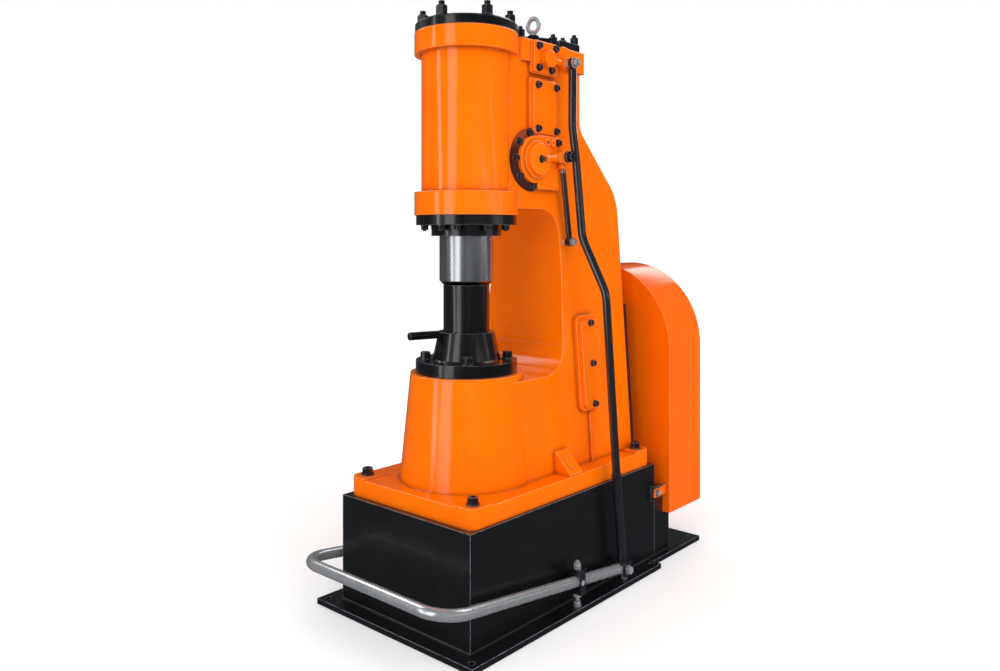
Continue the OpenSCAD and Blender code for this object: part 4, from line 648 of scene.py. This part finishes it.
# The world is white to the camera and even to rough surfaces, and nearly dark in reflections
world = bpy.data.worlds.new("studio")
bpy.context.scene.world = world
world.use_nodes = True
tree = world.node_tree
tree.nodes.clear()
ray = node(tree, "ShaderNodeLightPath").outputs
even = node(tree, "ShaderNodeBackground", {"Color": (1, 1, 1, 1), "Strength": 0.72}).outputs[0]
dim = node(tree, "ShaderNodeBackground", {"Color": (0.85, 0.92, 1, 1), "Strength": 0.07}).outputs[0]
white = node(tree, "ShaderNodeBackground", {"Color": (1, 1, 1, 1), "Strength": 1.0}).outputs[0]
unseen = node(tree, "ShaderNodeMixShader", {0: ray["Is Glossy Ray"], 1: even, 2: dim}).outputs[0]
sky = node(tree, "ShaderNodeMixShader", {0: ray["Is Camera Ray"], 1: unseen, 2: white}).outputs[0]
node(tree, "ShaderNodeOutputWorld", {"Surface": sky})


def soft_box(name, wide, tall, radiance, start, aim, up):
    """Rectangular light from one point towards another, which shows only in what reflects it."""
    light = bpy.data.lights.new(name, "AREA")
    light.shape = "RECTANGLE"
    light.size, light.size_y = wide, tall
    light.energy = radiance * math.pi * wide * tall
    lamp = bpy.data.objects.new(name, light)
    lamp.location = start
    lamp.rotation_euler = (Vector(aim) - Vector(start)).to_track_quat("-Z", up).to_euler()
    lamp.visible_camera = False
    lamp.visible_diffuse = False
    bpy.context.scene.collection.objects.link(lamp)


# Upright strips round the ram's axis, for the long highlights on the cylinder and the column
strip_far, strip_tall, strip_mid = 3.2, 2.6, 1.35
for name, azimuth, wide, radiance in (("left_strip", -113, 0.4, 3.4), ("front_strip", -83.5, 1.2, 2.0),
                                      ("right_box", -26, 1.2, 0.12), ("right_edge", 11, 0.2, 1.0),
                                      ("side_edge", 33, 0.2, 0.9)):
    turn = math.radians(azimuth)
    start = (strip_far * math.cos(turn), strip_far * math.sin(turn), strip_mid)
    soft_box(name, wide, strip_tall, radiance, start, (0, 0, strip_mid), "Z")

# Three high panels, which draw the bright lines on the treadle bar, the guard's arch and the upper edges
soft_box("rear_panel", 2.4, 1.4, 2.4, (0.3, 2.2, 3.2), (0.2, -0.2, 0.3), "Y")
soft_box("left_panel", 1.6, 0.9, 3.4, (-2.3, -0.5, 2.9), (0, -0.5, 0.1), "Y")
soft_box("arch_panel", 1.0, 0.4, 2.6, (-0.4, 3.0, 2.0), (0.15, 0.85, 1.15), "Y")

for name, strength, lean, swing in (("key", 0.88, 70, 14), ("fill", 0.8, 62, 85), ("top", 0.45, 22, 60)):
    sun = bpy.data.lights.new(name, "SUN")
    sun.energy = strength
    sun.angle = 0.9
    lamp = bpy.data.objects.new(name, sun)
    lamp.rotation_euler = (math.radians(lean), 0, math.radians(swing))
    lamp.visible_glossy = False
    bpy.context.scene.collection.objects.link(lamp)

lens = bpy.data.cameras.new("photo_camera")
lens.sensor_width = 36
lens.lens = 30.39
lens.shift_y = -0.0995
camera = bpy.data.objects.new("photo_camera", lens)
camera.location = (1.760, -1.853, 1.100)
camera.rotation_euler = (math.radians(90), 0, math.radians(41.256))
bpy.context.scene.collection.objects.link(camera)
bpy.context.scene.camera = camera
bpy.context.scene.view_settings.view_transform = "Standard"
